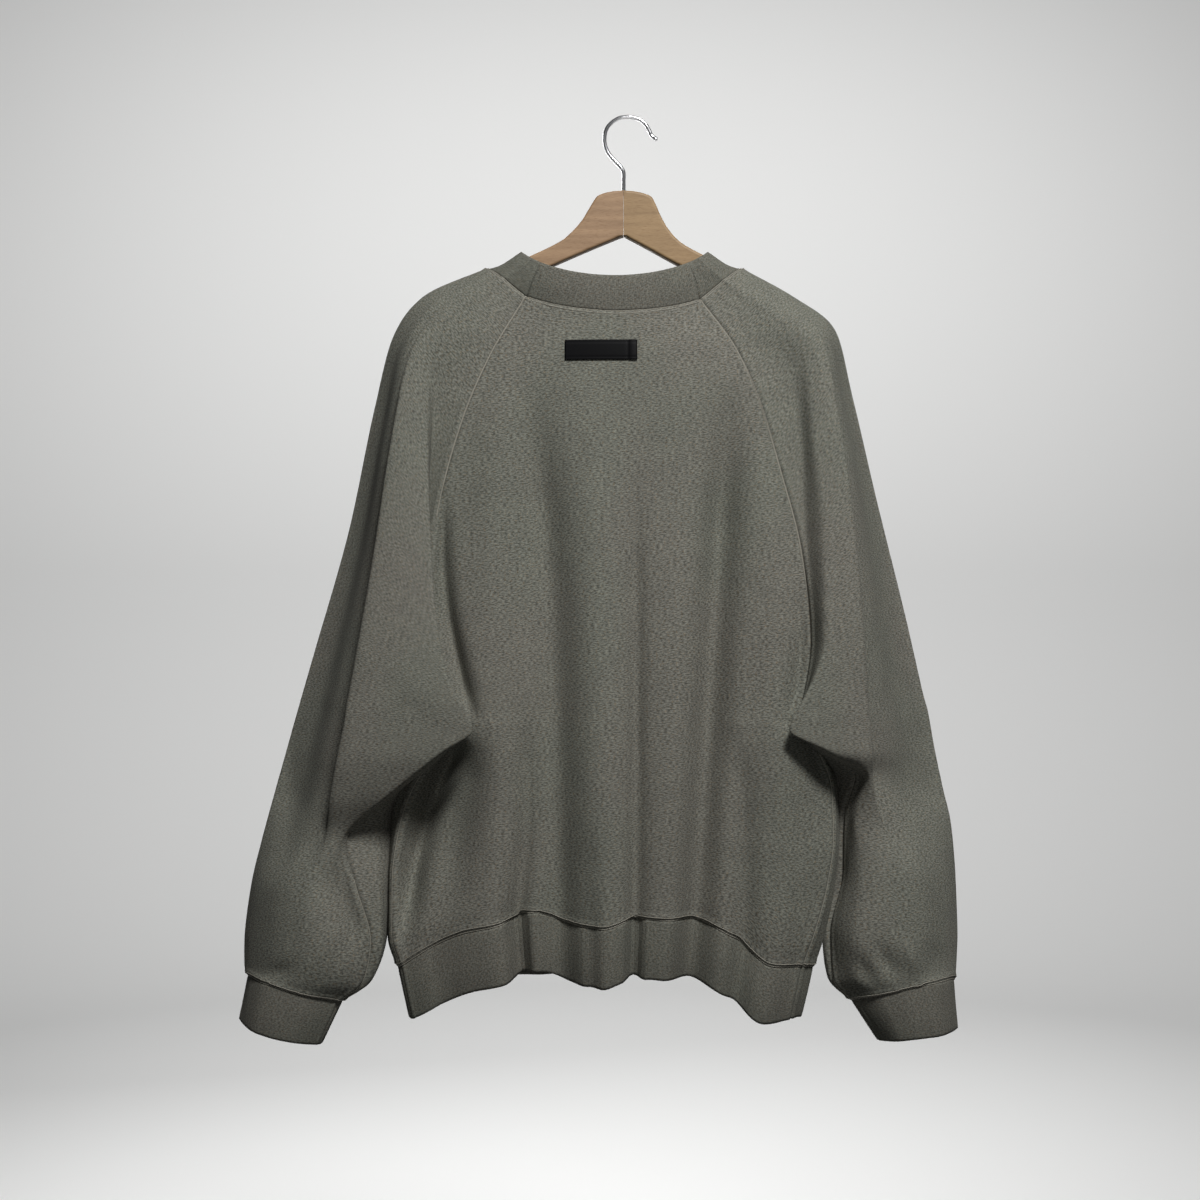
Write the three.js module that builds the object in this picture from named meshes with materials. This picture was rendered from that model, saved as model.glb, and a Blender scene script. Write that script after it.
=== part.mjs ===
// A raglan-sleeve crewneck sweatshirt hanging on a wooden hanger, seen from the garment's back.
// Millimetres, +Z up. The origin is under the hook's crest, where a rail bears. The garment's back
// faces -Y (the near side) and its front faces +Y (the far side). Left and right are as seen from -Y.

import * as THREE from 'three';
import { mergeVertices } from 'three/addons/utils/BufferGeometryUtils.js';

// Driving dimensions.
const FLEECE_THICKNESS = 2.2;
const RIB_THICKNESS = 2.6;
const SEAM_GAP = 0.3;
const ARMPIT_GAP = 2.4;

// A sleeve's section between the places that its table names: how far the fold's front bulges, how
// the outer edge is rounded, where the valley beyond the fold lies (a share of the way to the edge)
// and how far back it may drop.
const FLAP_BULGE = 4;
const EDGE_ROUND_IN = 5;
const EDGE_ROUND_OUT = 9;
const VALLEY_SHARE = 0.4;
const VALLEY_DROP = 18;

// The collar's free edge is an oval: its middle, half width, and its depth and height at the near
// side, the sides and the far side. The powers say how squarely it falls from the sides to the two
// middles, and reachX, reachNearY and reachFarY are the half sizes of the seam that it stands on.
const COLLAR = {
  x: -11.5, halfWidth: 92.5, nearY: -39, farY: 27, sideZ: -134, nearZ: -165, farZ: -210,
  nearPower: 1.5, farPower: 2.3, reachX: 125, reachNearY: 41, reachFarY: 30, bow: 2,
};
// The hem's band: how much narrower and shallower its free edge is, and how far its corners lift.
const HEM = {
  width: 58, middleX: -25, halfWidth: 205, squeeze: 0.945, squeezeDepth: 0.96, cornerLift: 8, cornerPower: 8, bow: 2,
};
// The two corners of each cuff's free edge, how far it sags between them and how much flatter it is.
const CUFF_LEFT = { leftX: -388, leftZ: -902, rightX: -304, rightZ: -922, sag: 5 };
const CUFF_RIGHT = { leftX: 251, leftZ: -918, rightX: 333, rightZ: -911, sag: 3 };
const CUFF = { squeezeDepth: 0.85, bow: 1.5 };
const BAND_ROWS = 3;

const TAB = { x: -25, z: -238.5, width: 70, height: 19.5, thickness: 0.9, columns: 7, rows: 3 };

// The hanger's two arms meet at its middle. An outline runs from its neck out along the arm's top to
// the tip, and back along the underside.
const HANGER = {
  thickness: 12, edgeRound: 3.5, middle: -2.5, neckTop: -73.4, neckFoot: -118,
};
const ARM_LEFT = [
  [-12, -74], [-29, -78], [-34, -84], [-39, -94], [-45, -104], [-56, -115], [-67, -124], [-95, -137.5],
  [-137, -155.5], [-170, -169], [-190, -180], [-202, -190], [-205, -198],
  [-200, -203], [-190, -203], [-160, -189], [-120, -169], [-74, -148], [-35, -131],
];
const ARM_RIGHT = [
  [10, -74.5], [25, -79], [29, -87], [35, -99], [43, -113], [55, -124.5], [73, -134.5], [88, -141],
  [114, -155.5], [140, -167.5], [164, -181], [188, -197], [194, -205],
  [188, -211], [176, -207], [150, -193], [110, -174], [55, -148], [20, -129],
];
// The hook: steel wire, from the wood's top up round the crest to its open tip.
const WIRE = 3.8;
const HOOK_ROUTE = [
  [-2.3, -72.5], [-2.3, -54], [-5, -48.5], [-11, -42.5], [-17.2, -35], [-20.6, -27], [-21.3, -18.5],
  [-19.5, -10], [-14, -3.5], [-5.5, 1.2], [0, 1.9], [4.5, 1.9], [14, -0.5], [20.8, -7], [25, -14],
  [28, -19],
];

// Sections of each sleeve from the neck to the cuff. A section starts at its back seam (raglan seam
// down to the armpit, underarm seam below it), runs over the underarm fold that stands in front and
// out to the sleeve's edge, and comes back over the far side to its front seam.
const SLEEVE_COLUMNS = [
  'seamX', 'seamZ', 'seamY', 'creaseX', 'creaseY', 'foldInX', 'foldInY', 'foldOutX', 'foldOutY',
  'valleyY', 'edgeX', 'edgeZ', 'edgeY', 'endX', 'endZ', 'endY', 'farY',
];
const SLEEVE_LEFT = [
  [-99, -182, -24, -108, -21, -116, -17, -125, -13, -10, -137, -149, 0, -87, -213, 24, 15],
  [-135, -244, -32, -151, -29, -170, -25, -185, -19, -12, -203, -178, 1, -108, -269, 27, 22],
  [-162, -310, -37, -184, -27, -196, -30, -212, -28, -13, -232, -214, 3, -124, -324, 28, 25],
  [-177, -388, -38, -189, -29, -194, -44, -228, -40, -12, -254, -290, 4, -135, -389, 28, 26],
  [-183, -481, -42, -185, -42, -188, -58, -244, -50, -12, -281, -409, 6, -143, -471, 28, 26],
  [-170, -556, -50, -171, -56, -174, -66, -260, -56, -12, -315, -525, 8, -147, -546, 26, 25],
  [-148, -591, -54, -149, -60, -156, -66, -268, -57, -12, -330, -577, 8, -149, -589, 22, 24],
  [-149, -604, -18, -147, -45, -157, -64, -270, -57, -12, -334, -591, 8, -149, -604, -18, 24],
];
const SLEEVE_RIGHT = [
  [72, -185, -24, 82, -21, 91, -17, 100, -13, -10, 114, -149, 0, 65, -213, 24, 15],
  [107, -235, -32, 122, -29, 138, -25, 153, -19, -12, 169, -179, 1, 87, -269, 27, 22],
  [129, -286, -37, 159, -30, 175, -31, 191, -28, -13, 209, -209, 3, 105, -324, 28, 25],
  [150, -356, -40, 170, -37, 182, -43, 205, -38, -12, 229, -276, 4, 121, -389, 28, 26],
  [169, -432, -44, 175, -44, 187, -54, 218, -48, -12, 256, -381, 6, 136, -471, 28, 26],
  [179, -520, -48, 181, -53, 188, -62, 226, -55, -12, 285, -493, 8, 151, -546, 26, 25],
  [159, -593, -54, 160, -60, 167, -66, 231, -56, -12, 305, -580, 8, 160, -589, 22, 24],
  [160, -604, -18, 158, -45, 169, -63, 232, -56, -12, 309, -594, 8, 160, -604, -18, 24],
];
// Below the armpit both seams are one, and innerX, innerZ, innerY is the sleeve's inner edge.
const FOREARM_COLUMNS = [
  'seamX', 'seamZ', 'seamY', 'creaseX', 'creaseY', 'foldInX', 'foldInY', 'foldOutX', 'foldOutY',
  'valleyY', 'edgeX', 'edgeZ', 'edgeY', 'innerX', 'innerZ', 'innerY', 'wrapX', 'wrapY', 'farY',
];
const FOREARM_LEFT = [
  [-178, -626, -50, -174, -56, -180, -62, -277, -54, -14, -346, -632, 9, -203, -633, 2, -194, -25, 23],
  [-227, -667, -42, -224, -47, -230, -52, -286, -46, -17, -358, -677, 9, -239, -673, 3, -232, -20, 22],
  [-276, -714, -30, -275, -32, -278, -34, -293, -32, -20, -370, -724, 9, -241, -717, 4, -254, -20, 22],
  [-265, -760, -33, -276, -36, -290, -38, -320, -37, -26, -380, -770, 8, -241, -762, 5, -248, -22, 22],
  [-251, -814, -30, -266, -38, -284, -44, -323, -43, -29, -386, -823, 7, -245, -818, 5, -246, -22, 21],
  [-259, -856, -20, -272, -28, -295, -36, -334, -36, -26, -385, -848, 6, -257, -856, 4, -256, -15, 19],
  [-284, -878, -8, -295, -13, -314, -16, -348, -17, -14, -381, -859, 4, -284, -880, 3, -282, -3, 15],
];
const FOREARM_RIGHT = [
  [192, -620, -45, 191, -52, 198, -58, 235, -52, -14, 316, -632, 9, 195, -630, 2, 194, -20, 23],
  [224, -652, -30, 229, -36, 232, -42, 237, -42, -17, 324, -672, 9, 216, -661, 3, 220, -15, 22],
  [217, -700, -10, 220, -20, 224, -30, 247, -32, -22, 332, -712, 9, 218, -696, 3, 217, -6, 22],
  [217, -750, -8, 219, -22, 229, -34, 266, -37, -27, 335, -762, 8, 216, -750, 5, 216, -3, 22],
  [204, -809, -8, 209, -24, 224, -40, 269, -43, -29, 336, -813, 7, 204, -815, 5, 203, -3, 21],
  [205, -855, -6, 215, -20, 233, -36, 275, -38, -25, 334, -844, 6, 206, -858, 4, 205, -2, 19],
  [224, -878, -4, 233, -12, 250, -17, 291, -17, -14, 331, -864, 4, 225, -880, 3, 224, 0, 15],
];

// The body's two sides below the armpit: the side seam, then the fold that is its outline.
const SIDE_COLUMNS = ['seamX', 'seamZ', 'seamY', 'edgeX', 'edgeZ', 'edgeY'];
const SIDE_LEFT = [
  [-184, -630, -30, -193, -634, -8],
  [-211, -667, -30, -228, -670, -6],
  [-226, -712, -28, -233, -715, -4],
  [-232, -761, -25, -236, -766, -2],
  [-232, -811, -22, -236, -816, 0],
  [-223, -843, -20, -227, -847, 0],
];
const SIDE_RIGHT = [
  [183, -629, -36, 189, -632, -12],
  [194, -666, -36, 209, -669, -12],
  [198, -714, -34, 209, -717, -10],
  [192, -760, -32, 205, -764, -8],
  [181, -809, -30, 195, -815, -6],
  [171, -841, -26, 185, -846, -4],
];

// Where the middle of the back panel lies in front of the hanger, a value for each row from the neck
// down, and how squarely the panel swells to it: 2 is a round arc, more is flatter with steep sides.
const BACK_DEPTH = [-42, -47, -49, -50, -51, -53, -54, -55, -55, -54, -54, -52, -51, -49];
const SWELL_POWER = [2, 2, 2, 2, 3, 3, 4, 10, 6, 5, 5, 5, 5, 5];
// Where the middle of the front panel lies behind the hanger.
const FAR_DEPTH = [30, 31, 32, 32, 32, 31, 30, 29, 28, 27, 26, 25, 24, 22];

// The long hanging folds of each panel: where each runs at its top, middle and foot, how far it
// stands out (a ridge) or goes in (a valley, below zero) at its top and foot, and its half width.
const FOLD_COLUMNS = ['topZ', 'topX', 'middleX', 'footX', 'topDepth', 'footDepth', 'halfWidth'];
const BACK_FOLDS = [
  [-219, -119, -124, -119, 1, 5, 24],
  [-268, -100, -61, -54, -2, -9, 17],
  [-248, -37, -27, -21, 2, 9, 22],
  [-340, 7, 12, 8, 0, -7, 11],
  [-365, 39, 43, 43, 1, 7, 20],
  [-268, 106, 91, 75, -3, -11, 15],
  [-248, 138, 148, 152, 1, 5, 22],
  [-590, -95, -95, -104, 0, -10, 10],
  [-600, -155, -175, -198, -2, -12, 13],
];
const FRONT_FOLDS = [
  [-280, -92, -108, -124, 1, 8, 24],
  [-300, -60, -64, -70, -2, -9, 16],
  [-290, -20, -24, -16, 2, 9, 24],
  [-330, 28, 26, 30, -1, -8, 14],
  [-300, 64, 72, 78, 1, 8, 22],
  [-360, 104, 118, 120, -1, -8, 15],
];
const FOLD_FOOT = -800;
const FOLD_FADE_IN = 0.25;

// The line where each panel meets the band at the hem: how far it rises above the line between the
// side seams, at even steps from the left seam to the right one. The neckline dips in the same way.
const BACK_HEM_RISE = [0, 22, 38, 46, 57, 46, 44, 52, 51, 46, 30, 4, 0];
const FRONT_HEM_RISE = [0, 0, 3, 20, 36, 40, 46, 48, 42, 24, 3, 0, 0];
const BACK_NECK_DIP = [0, 9, 14, 16, 14, 9, 0];
const FRONT_NECK_DIP = [0, 14, 24, 28, 24, 14, 0];
const NECK_DIP_ROWS = 2.5;
const HEM_RISE_POWER = 1.6;
// How quickly the long folds start beside a panel's seams.
const FOLD_EDGE = 14;
// On the front panel, the share of its width that lies round each side, where no fold runs.
const FRONT_WRAP = 0.14;

// Rows of mesh between one section and the next, above the armpit and below it.
const YOKE_STEPS = [2, 2, 2, 2, 2, 1, 1];
const FOREARM_STEPS = [1, 2, 2, 2, 2, 2, 1];
const BODY_STEPS = [1, 2, 2, 2, 2, 1];
const SLEEVE_STEPS_ACROSS = 2;
const BACK_COLUMNS = 33;
const FRONT_STEPS_ACROSS = 3;

const named = (columns, rows) =>
  rows.map((row) => Object.fromEntries(columns.map((name, place) => [name, row[place]])));

const mix = (a, b, t) => a + (b - a) * t;

// A smooth run through a list of values that never passes above or below its neighbours.
function smooth(values, t) {
  const last = values.length - 1;
  const place = Math.min(Math.max(t, 0), 1) * last;
  const i = Math.min(Math.floor(place), last - 1);
  const f = place - i;
  const slope = (k) => {
    if (k <= 0) return values[1] - values[0];
    if (k >= last) return values[last] - values[last - 1];
    const before = values[k] - values[k - 1];
    const after = values[k + 1] - values[k];
    return before * after <= 0 ? 0 : (2 * before * after) / (before + after);
  };
  const f2 = f * f;
  const f3 = f2 * f;
  return (2 * f3 - 3 * f2 + 1) * values[i] + (f3 - 2 * f2 + f) * slope(i)
    + (3 * f2 - 2 * f3) * values[i + 1] + (f3 - f2) * slope(i + 1);
}

// The places along a list of rows, from 0 to 1, with the given number of steps between rows.
function places(steps) {
  const all = steps.flatMap((count, row) =>
    Array.from({ length: count }, (_, step) => (row + step / count) / steps.length));
  return [...all, 1];
}

// A surface through a table of points: rows down it, points across each row.
function surface(table, down, across) {
  const middle = table.map((row) => [0, 1, 2].map((axis) => smooth(row.map((p) => p[axis]), across)));
  return [0, 1, 2].map((axis) => smooth(middle.map((p) => p[axis]), down));
}

const grid = (downs, acrosses, point) => downs.map((down) => acrosses.map((across) => point(down, across)));

// The near half of a sleeve section, from its seam over the underarm fold to the outer edge.
function nearPoints(row) {
  const inward = Math.sign(row.seamX - row.edgeX);
  const height = (x) => mix(row.seamZ, row.edgeZ, (x - row.seamX) / (row.edgeX - row.seamX));
  const valleyX = mix(row.foldOutX, row.edgeX, VALLEY_SHARE);
  const roundX = row.edgeX + inward * EDGE_ROUND_IN;
  const bulgeX = mix(row.foldInX, row.foldOutX, 0.5);
  const bulgeY = mix(row.foldInY, row.foldOutY, 0.5) - FLAP_BULGE;
  return [
    [row.seamX, row.seamY, row.seamZ],
    [row.creaseX, row.creaseY, height(row.creaseX)],
    [row.foldInX, row.foldInY, height(row.foldInX)],
    [bulgeX, bulgeY, height(bulgeX)],
    [row.foldOutX, row.foldOutY, height(row.foldOutX)],
    [valleyX, Math.min(row.valleyY, row.foldOutY + VALLEY_DROP), height(valleyX)],
    [roundX, Math.min(row.valleyY, row.edgeY - EDGE_ROUND_OUT), height(roundX)],
    [row.edgeX, row.edgeY, row.edgeZ],
  ];
}

// The far half: from the outer edge to the front raglan seam.
function yokeSection(row) {
  const inward = Math.sign(row.seamX - row.edgeX);
  const far = (t, depth) => [mix(row.edgeX, row.endX, t), depth, mix(row.edgeZ, row.endZ, t)];
  const round = [row.edgeX + inward * EDGE_ROUND_IN, row.edgeY + EDGE_ROUND_OUT, row.edgeZ - 2];
  return [
    ...nearPoints(row),
    round,
    far(0.3, row.farY),
    far(0.5, mix(row.farY, row.endY, 0.4)),
    far(0.7, mix(row.farY, row.endY, 0.7)),
    far(0.86, mix(row.farY, row.endY, 0.9)),
    [row.endX, row.endY, row.endZ],
  ];
}

// The far half below the armpit: round the inner edge and back to the underarm seam.
function forearmSection(row) {
  const inward = Math.sign(row.seamX - row.edgeX);
  const far = (t) => [mix(row.edgeX, row.innerX, t), row.farY, mix(row.edgeZ, row.innerZ, t)];
  const round = [row.edgeX + inward * EDGE_ROUND_IN, row.edgeY + EDGE_ROUND_OUT, row.edgeZ];
  return [
    ...nearPoints(row),
    round,
    far(0.33),
    far(0.72),
    [row.innerX, row.innerY, row.innerZ],
    [row.wrapX, row.wrapY, mix(row.innerZ, row.seamZ, 0.5)],
    [row.seamX, row.seamY, row.seamZ],
  ];
}

function sleeveTable(yoke, forearm) {
  return {
    yoke: named(SLEEVE_COLUMNS, yoke).map(yokeSection),
    forearm: named(FOREARM_COLUMNS, forearm).map(forearmSection),
  };
}

// A section has 14 places: the last one is its front seam.
const FRONT_SEAM = 13;
const ACROSS_SLEEVE = places(Array(FRONT_SEAM).fill(SLEEVE_STEPS_ACROSS));

// A sleeve's grid: one run of rows over the yoke, and one from the armpit to the cuff.
function sleeveGrid(table) {
  const armpit = table.yoke[table.yoke.length - 1];
  const yoke = grid(places(YOKE_STEPS), ACROSS_SLEEVE, (d, a) => surface(table.yoke, d, a));
  const lower = [armpit, ...table.forearm];
  const arm = grid(places(FOREARM_STEPS), ACROSS_SLEEVE, (d, a) => surface(lower, d, a));
  return [...yoke, ...arm.slice(1)];
}

const sleeveLeftTable = sleeveTable(SLEEVE_LEFT, FOREARM_LEFT);
const sleeveRightTable = sleeveTable(SLEEVE_RIGHT, FOREARM_RIGHT);
const sleeveLeftGrid = sleeveGrid(sleeveLeftTable);
const sleeveRightGrid = sleeveGrid(sleeveRightTable);

// How far the long folds stand out at a place on a panel.
function foldDepth(folds, x, z) {
  return named(FOLD_COLUMNS, folds).reduce((sum, fold) => {
    const t = (z - fold.topZ) / (FOLD_FOOT - fold.topZ);
    if (t <= 0) return sum;
    const along = Math.min(t, 1.05);
    const centre = smooth([fold.topX, fold.middleX, fold.footX], along);
    const fadeIn = Math.min(1, along / FOLD_FADE_IN);
    const depth = mix(fold.topDepth, fold.footDepth, along) * fadeIn;
    return sum + depth * Math.exp(-(((x - centre) / fold.halfWidth) ** 2));
  }, 0);
}

const sideLeft = named(SIDE_COLUMNS, SIDE_LEFT);
const sideRight = named(SIDE_COLUMNS, SIDE_RIGHT);
const ROWS_TO_ARMPIT = YOKE_STEPS.length;
const BODY_ROWS = ROWS_TO_ARMPIT + BODY_STEPS.length;

// A row of the body by its place, from 0 at the neck to BODY_ROWS at the hem.
function bodyRow(row, list) {
  return row <= ROWS_TO_ARMPIT
    ? smooth(list.slice(0, ROWS_TO_ARMPIT + 1), row / ROWS_TO_ARMPIT)
    : smooth(list.slice(ROWS_TO_ARMPIT), (row - ROWS_TO_ARMPIT) / BODY_STEPS.length);
}

const bodyRows = [
  ...places(YOKE_STEPS).map((t) => t * ROWS_TO_ARMPIT),
  ...places(BODY_STEPS).slice(1).map((t) => ROWS_TO_ARMPIT + t * BODY_STEPS.length),
];

// The seams at a panel's two sides: the sleeves' back or front seams, then the side seams.
function seamLine(yoke, side, place) {
  const points = [
    ...yoke.map((section) => section[place]),
    ...side.map((s) => [s.seamX, s.seamY, s.seamZ]),
  ];
  return (row) => [0, 1, 2].map((axis) => bodyRow(row, points.map((p) => p[axis])));
}

const backSeamLeft = seamLine(sleeveLeftTable.yoke, sideLeft, 0);
const backSeamRight = seamLine(sleeveRightTable.yoke, sideRight, 0);
const frontSeamLeft = seamLine(sleeveLeftTable.yoke, sideLeft, FRONT_SEAM);
const frontSeamRight = seamLine(sleeveRightTable.yoke, sideRight, FRONT_SEAM);

// The place of a row between the first one below the armpit, 0, and the hem, 1.
const belowArmpit = (row) => Math.max(0, (row - ROWS_TO_ARMPIT - 1) / (BODY_STEPS.length - 1));

// How far the neckline dips and the hem rises at a place on a panel.
const lift = (row, across, neckDip, hemRise) =>
  smooth(hemRise, across) * belowArmpit(row) ** HEM_RISE_POWER
  - smooth(neckDip, across) * Math.max(0, 1 - row / NECK_DIP_ROWS) ** 2;

// A point of the back panel: between its two seams, swollen to its middle's depth, with its folds.
function backPoint(row, across) {
  const left = backSeamLeft(row);
  const right = backSeamRight(row);
  const x = mix(left[0], right[0], across);
  const z = mix(left[2], right[2], across) + lift(row, across, BACK_NECK_DIP, BACK_HEM_RISE);
  const swell = 1 - Math.abs(2 * across - 1) ** smooth(SWELL_POWER, row / BODY_ROWS);
  const inside = Math.min(1, FOLD_EDGE * across * (1 - across));
  const plain = mix(mix(left[1], right[1], across), bodyRow(row, BACK_DEPTH), swell);
  return [x, plain - foldDepth(BACK_FOLDS, x, z) * inside, z];
}

const ACROSS_BACK = Array.from({ length: BACK_COLUMNS }, (_, i) => i / (BACK_COLUMNS - 1));
const backGrid = grid(bodyRows, ACROSS_BACK, backPoint);

// The outline at one side of the body, at a row below the armpit.
const sideEdge = (side, row) =>
  ['edgeX', 'edgeY', 'edgeZ'].map((name) => smooth(side.map((s) => s[name]), belowArmpit(row)));

// A point of the front panel: from the left seam round the body's left outline, over the far side
// and round the right outline. Above the armpit it is the far side alone.
function frontPoint(row, across) {
  const left = frontSeamLeft(row);
  const right = frontSeamRight(row);
  const between = (t) => left.map((value, axis) => mix(value, right[axis], t));
  const wrap = Math.min(1, Math.max(0, row - ROWS_TO_ARMPIT));
  const round = (side, t) => between(t).map((value, axis) => mix(value, sideEdge(side, row)[axis], wrap));
  const depth = bodyRow(row, FAR_DEPTH);
  const far = (t, share) => {
    const [x, y, z] = between(t);
    return [x, mix(y, depth, share), z];
  };
  const points = [
    left, round(sideLeft, 0.05), far(0.1, 0.72), far(0.25, 0.96), far(0.5, 1),
    far(0.75, 0.96), far(0.9, 0.72), round(sideRight, 0.95), right,
  ];
  const [x, y, z] = [0, 1, 2].map((axis) => smooth(points.map((p) => p[axis]), across));
  const fromSides = Math.max(0, across - FRONT_WRAP) * Math.max(0, 1 - FRONT_WRAP - across);
  return [
    x,
    y + foldDepth(FRONT_FOLDS, x, z) * Math.min(1, FOLD_EDGE * fromSides),
    z + lift(row, across, FRONT_NECK_DIP, FRONT_HEM_RISE),
  ];
}

const frontGrid = grid(bodyRows, places(Array(8).fill(FRONT_STEPS_ACROSS)), frontPoint);

const reversed = (row) => [...row].reverse();
const lastRow = (rows) => rows[rows.length - 1];

// The ring of points round the neckline: back, right sleeve, front and left sleeve.
const neckRing = [
  ...backGrid[0],
  ...sleeveRightGrid[0].slice(1),
  ...reversed(frontGrid[0]).slice(1),
  ...reversed(sleeveLeftGrid[0]).slice(1, -1),
];

// The collar's free edge over a point of its seam.
function collarTop([x, y]) {
  const near = y < 0;
  const angle = Math.atan2(y / (near ? COLLAR.reachNearY : COLLAR.reachFarY), (x - COLLAR.x) / COLLAR.reachX);
  const side = Math.abs(Math.sin(angle));
  return [
    COLLAR.x + COLLAR.halfWidth * Math.cos(angle),
    side * (near ? COLLAR.nearY : COLLAR.farY),
    mix(COLLAR.sideZ, near ? COLLAR.nearZ : COLLAR.farZ, side ** (near ? COLLAR.nearPower : COLLAR.farPower)),
  ];
}

// A band's rows, from its free edge to its seam, bowed outwards a little.
function band(ring, freeEdge, bow) {
  return Array.from({ length: BAND_ROWS }, (_, i) => {
    const t = i / (BAND_ROWS - 1);
    return ring.map((point) => {
      const [x, y, z] = freeEdge(point);
      const swell = Math.sign(point[1]) * bow * Math.sin(Math.PI * t);
      return [mix(x, point[0], t), mix(y, point[1], t) + swell, mix(z, point[2], t)];
    });
  });
}

const collarGrid = band(neckRing, collarTop, COLLAR.bow);

// The hem band's free edge under a point of its seam.
function hemBottom([x, y, z]) {
  const corner = Math.min(1, Math.abs(x - HEM.middleX) / HEM.halfWidth) ** HEM.cornerPower;
  return [
    HEM.middleX + (x - HEM.middleX) * HEM.squeeze,
    y * HEM.squeezeDepth,
    z - HEM.width + HEM.cornerLift * corner,
  ];
}
const hemRing = [...lastRow(backGrid), ...reversed(lastRow(frontGrid)).slice(1, -1)];
const hemGrid = band(hemRing, hemBottom, HEM.bow).reverse();

// A cuff: the sleeve's end ring drawn onto a narrower one between the cuff's two corners.
function cuffGrid(sleeve, cuff) {
  const ring = lastRow(sleeve).slice(0, -1);
  const xs = ring.map((p) => p[0]);
  const low = Math.min(...xs);
  const high = Math.max(...xs);
  const freeEdge = ([x, y]) => {
    const t = (x - low) / (high - low);
    const sag = cuff.sag * Math.sin(Math.PI * t);
    return [mix(cuff.leftX, cuff.rightX, t), y * CUFF.squeezeDepth, mix(cuff.leftZ, cuff.rightZ, t) - sag];
  };
  return band(ring, freeEdge, CUFF.bow).reverse();
}
const cuffLeftGrid = cuffGrid(sleeveLeftGrid, CUFF_LEFT);
const cuffRightGrid = cuffGrid(sleeveRightGrid, CUFF_RIGHT);

// Each piece of cloth: its grid, whether it closes on itself across, and whether its rows run so that
// the cross of down and across points out of the garment.
const cloth = {
  back_panel: { rows: backGrid, ring: false, flip: false, thickness: FLEECE_THICKNESS },
  front_panel: { rows: frontGrid, ring: false, flip: true, thickness: FLEECE_THICKNESS },
  sleeve_left: { rows: sleeveLeftGrid, ring: false, flip: true, thickness: FLEECE_THICKNESS },
  sleeve_right: { rows: sleeveRightGrid, ring: false, flip: false, thickness: FLEECE_THICKNESS },
  collar: { rows: collarGrid, ring: true, flip: false, thickness: RIB_THICKNESS },
  hem_band: { rows: hemGrid, ring: true, flip: false, thickness: RIB_THICKNESS },
  cuff_left: { rows: cuffLeftGrid, ring: true, flip: true, thickness: RIB_THICKNESS },
  cuff_right: { rows: cuffRightGrid, ring: true, flip: false, thickness: RIB_THICKNESS },
};

const minus = (a, b) => [a[0] - b[0], a[1] - b[1], a[2] - b[2]];
const plus = (a, b, scale) => [a[0] + b[0] * scale, a[1] + b[1] * scale, a[2] + b[2] * scale];
const cross = (a, b) => [
  a[1] * b[2] - a[2] * b[1],
  a[2] * b[0] - a[0] * b[2],
  a[0] * b[1] - a[1] * b[0],
];
const size = (a) => Math.hypot(...a);
const unit = (a) => a.map((value) => value / (size(a) || 1));
const key = (point) => point.map((value) => Math.round(value * 100)).join(' ');

// The four corners of each mesh cell, turned to face out of the garment.
function* cells({ rows, ring, flip }) {
  const across = rows[0].length;
  for (let r = 0; r < rows.length - 1; r += 1) {
    for (let c = 0; c < (ring ? across : across - 1); c += 1) {
      const next = (c + 1) % across;
      const corners = [[r, c], [r + 1, c], [r + 1, next], [r, next]];
      yield flip ? corners.reverse() : corners;
    }
  }
}

// The outward direction at each point, shared by all the pieces that meet there.
const outward = new Map();
for (const piece of Object.values(cloth)) {
  for (const corners of cells(piece)) {
    const [a, b, c, d] = corners.map(([r, col]) => piece.rows[r][col]);
    const normal = cross(minus(c, a), minus(d, b));
    for (const point of [a, b, c, d]) {
      const name = key(point);
      outward.set(name, plus(normal, outward.get(name) ?? [0, 0, 0], 1));
    }
  }
}

const armpits = new Set([SLEEVE_LEFT, SLEEVE_RIGHT].map((table) => {
  const { seamX, seamY, seamZ } = named(SLEEVE_COLUMNS, table).at(-1);
  return key([seamX, seamY, seamZ]);
}));

// A grid's point pulled back from the piece's free edges and seams, by a little over half their gap.
const PULL_SHARE = 0.6;
function pulledIn({ rows, ring }, r, c) {
  let point = rows[r][c];
  const gap = armpits.has(key(point)) ? ARMPIT_GAP : SEAM_GAP;
  const towards = (other) => {
    const step = minus(other, point);
    if (size(step) > gap) point = plus(point, unit(step), gap * PULL_SHARE);
  };
  if (!ring && c === 0) towards(rows[r][1]);
  if (!ring && c === rows[0].length - 1) towards(rows[r][c - 1]);
  if (r === 0) towards(rows[1][c]);
  if (r === rows.length - 1) towards(rows[r - 1][c]);
  return point;
}

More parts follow.
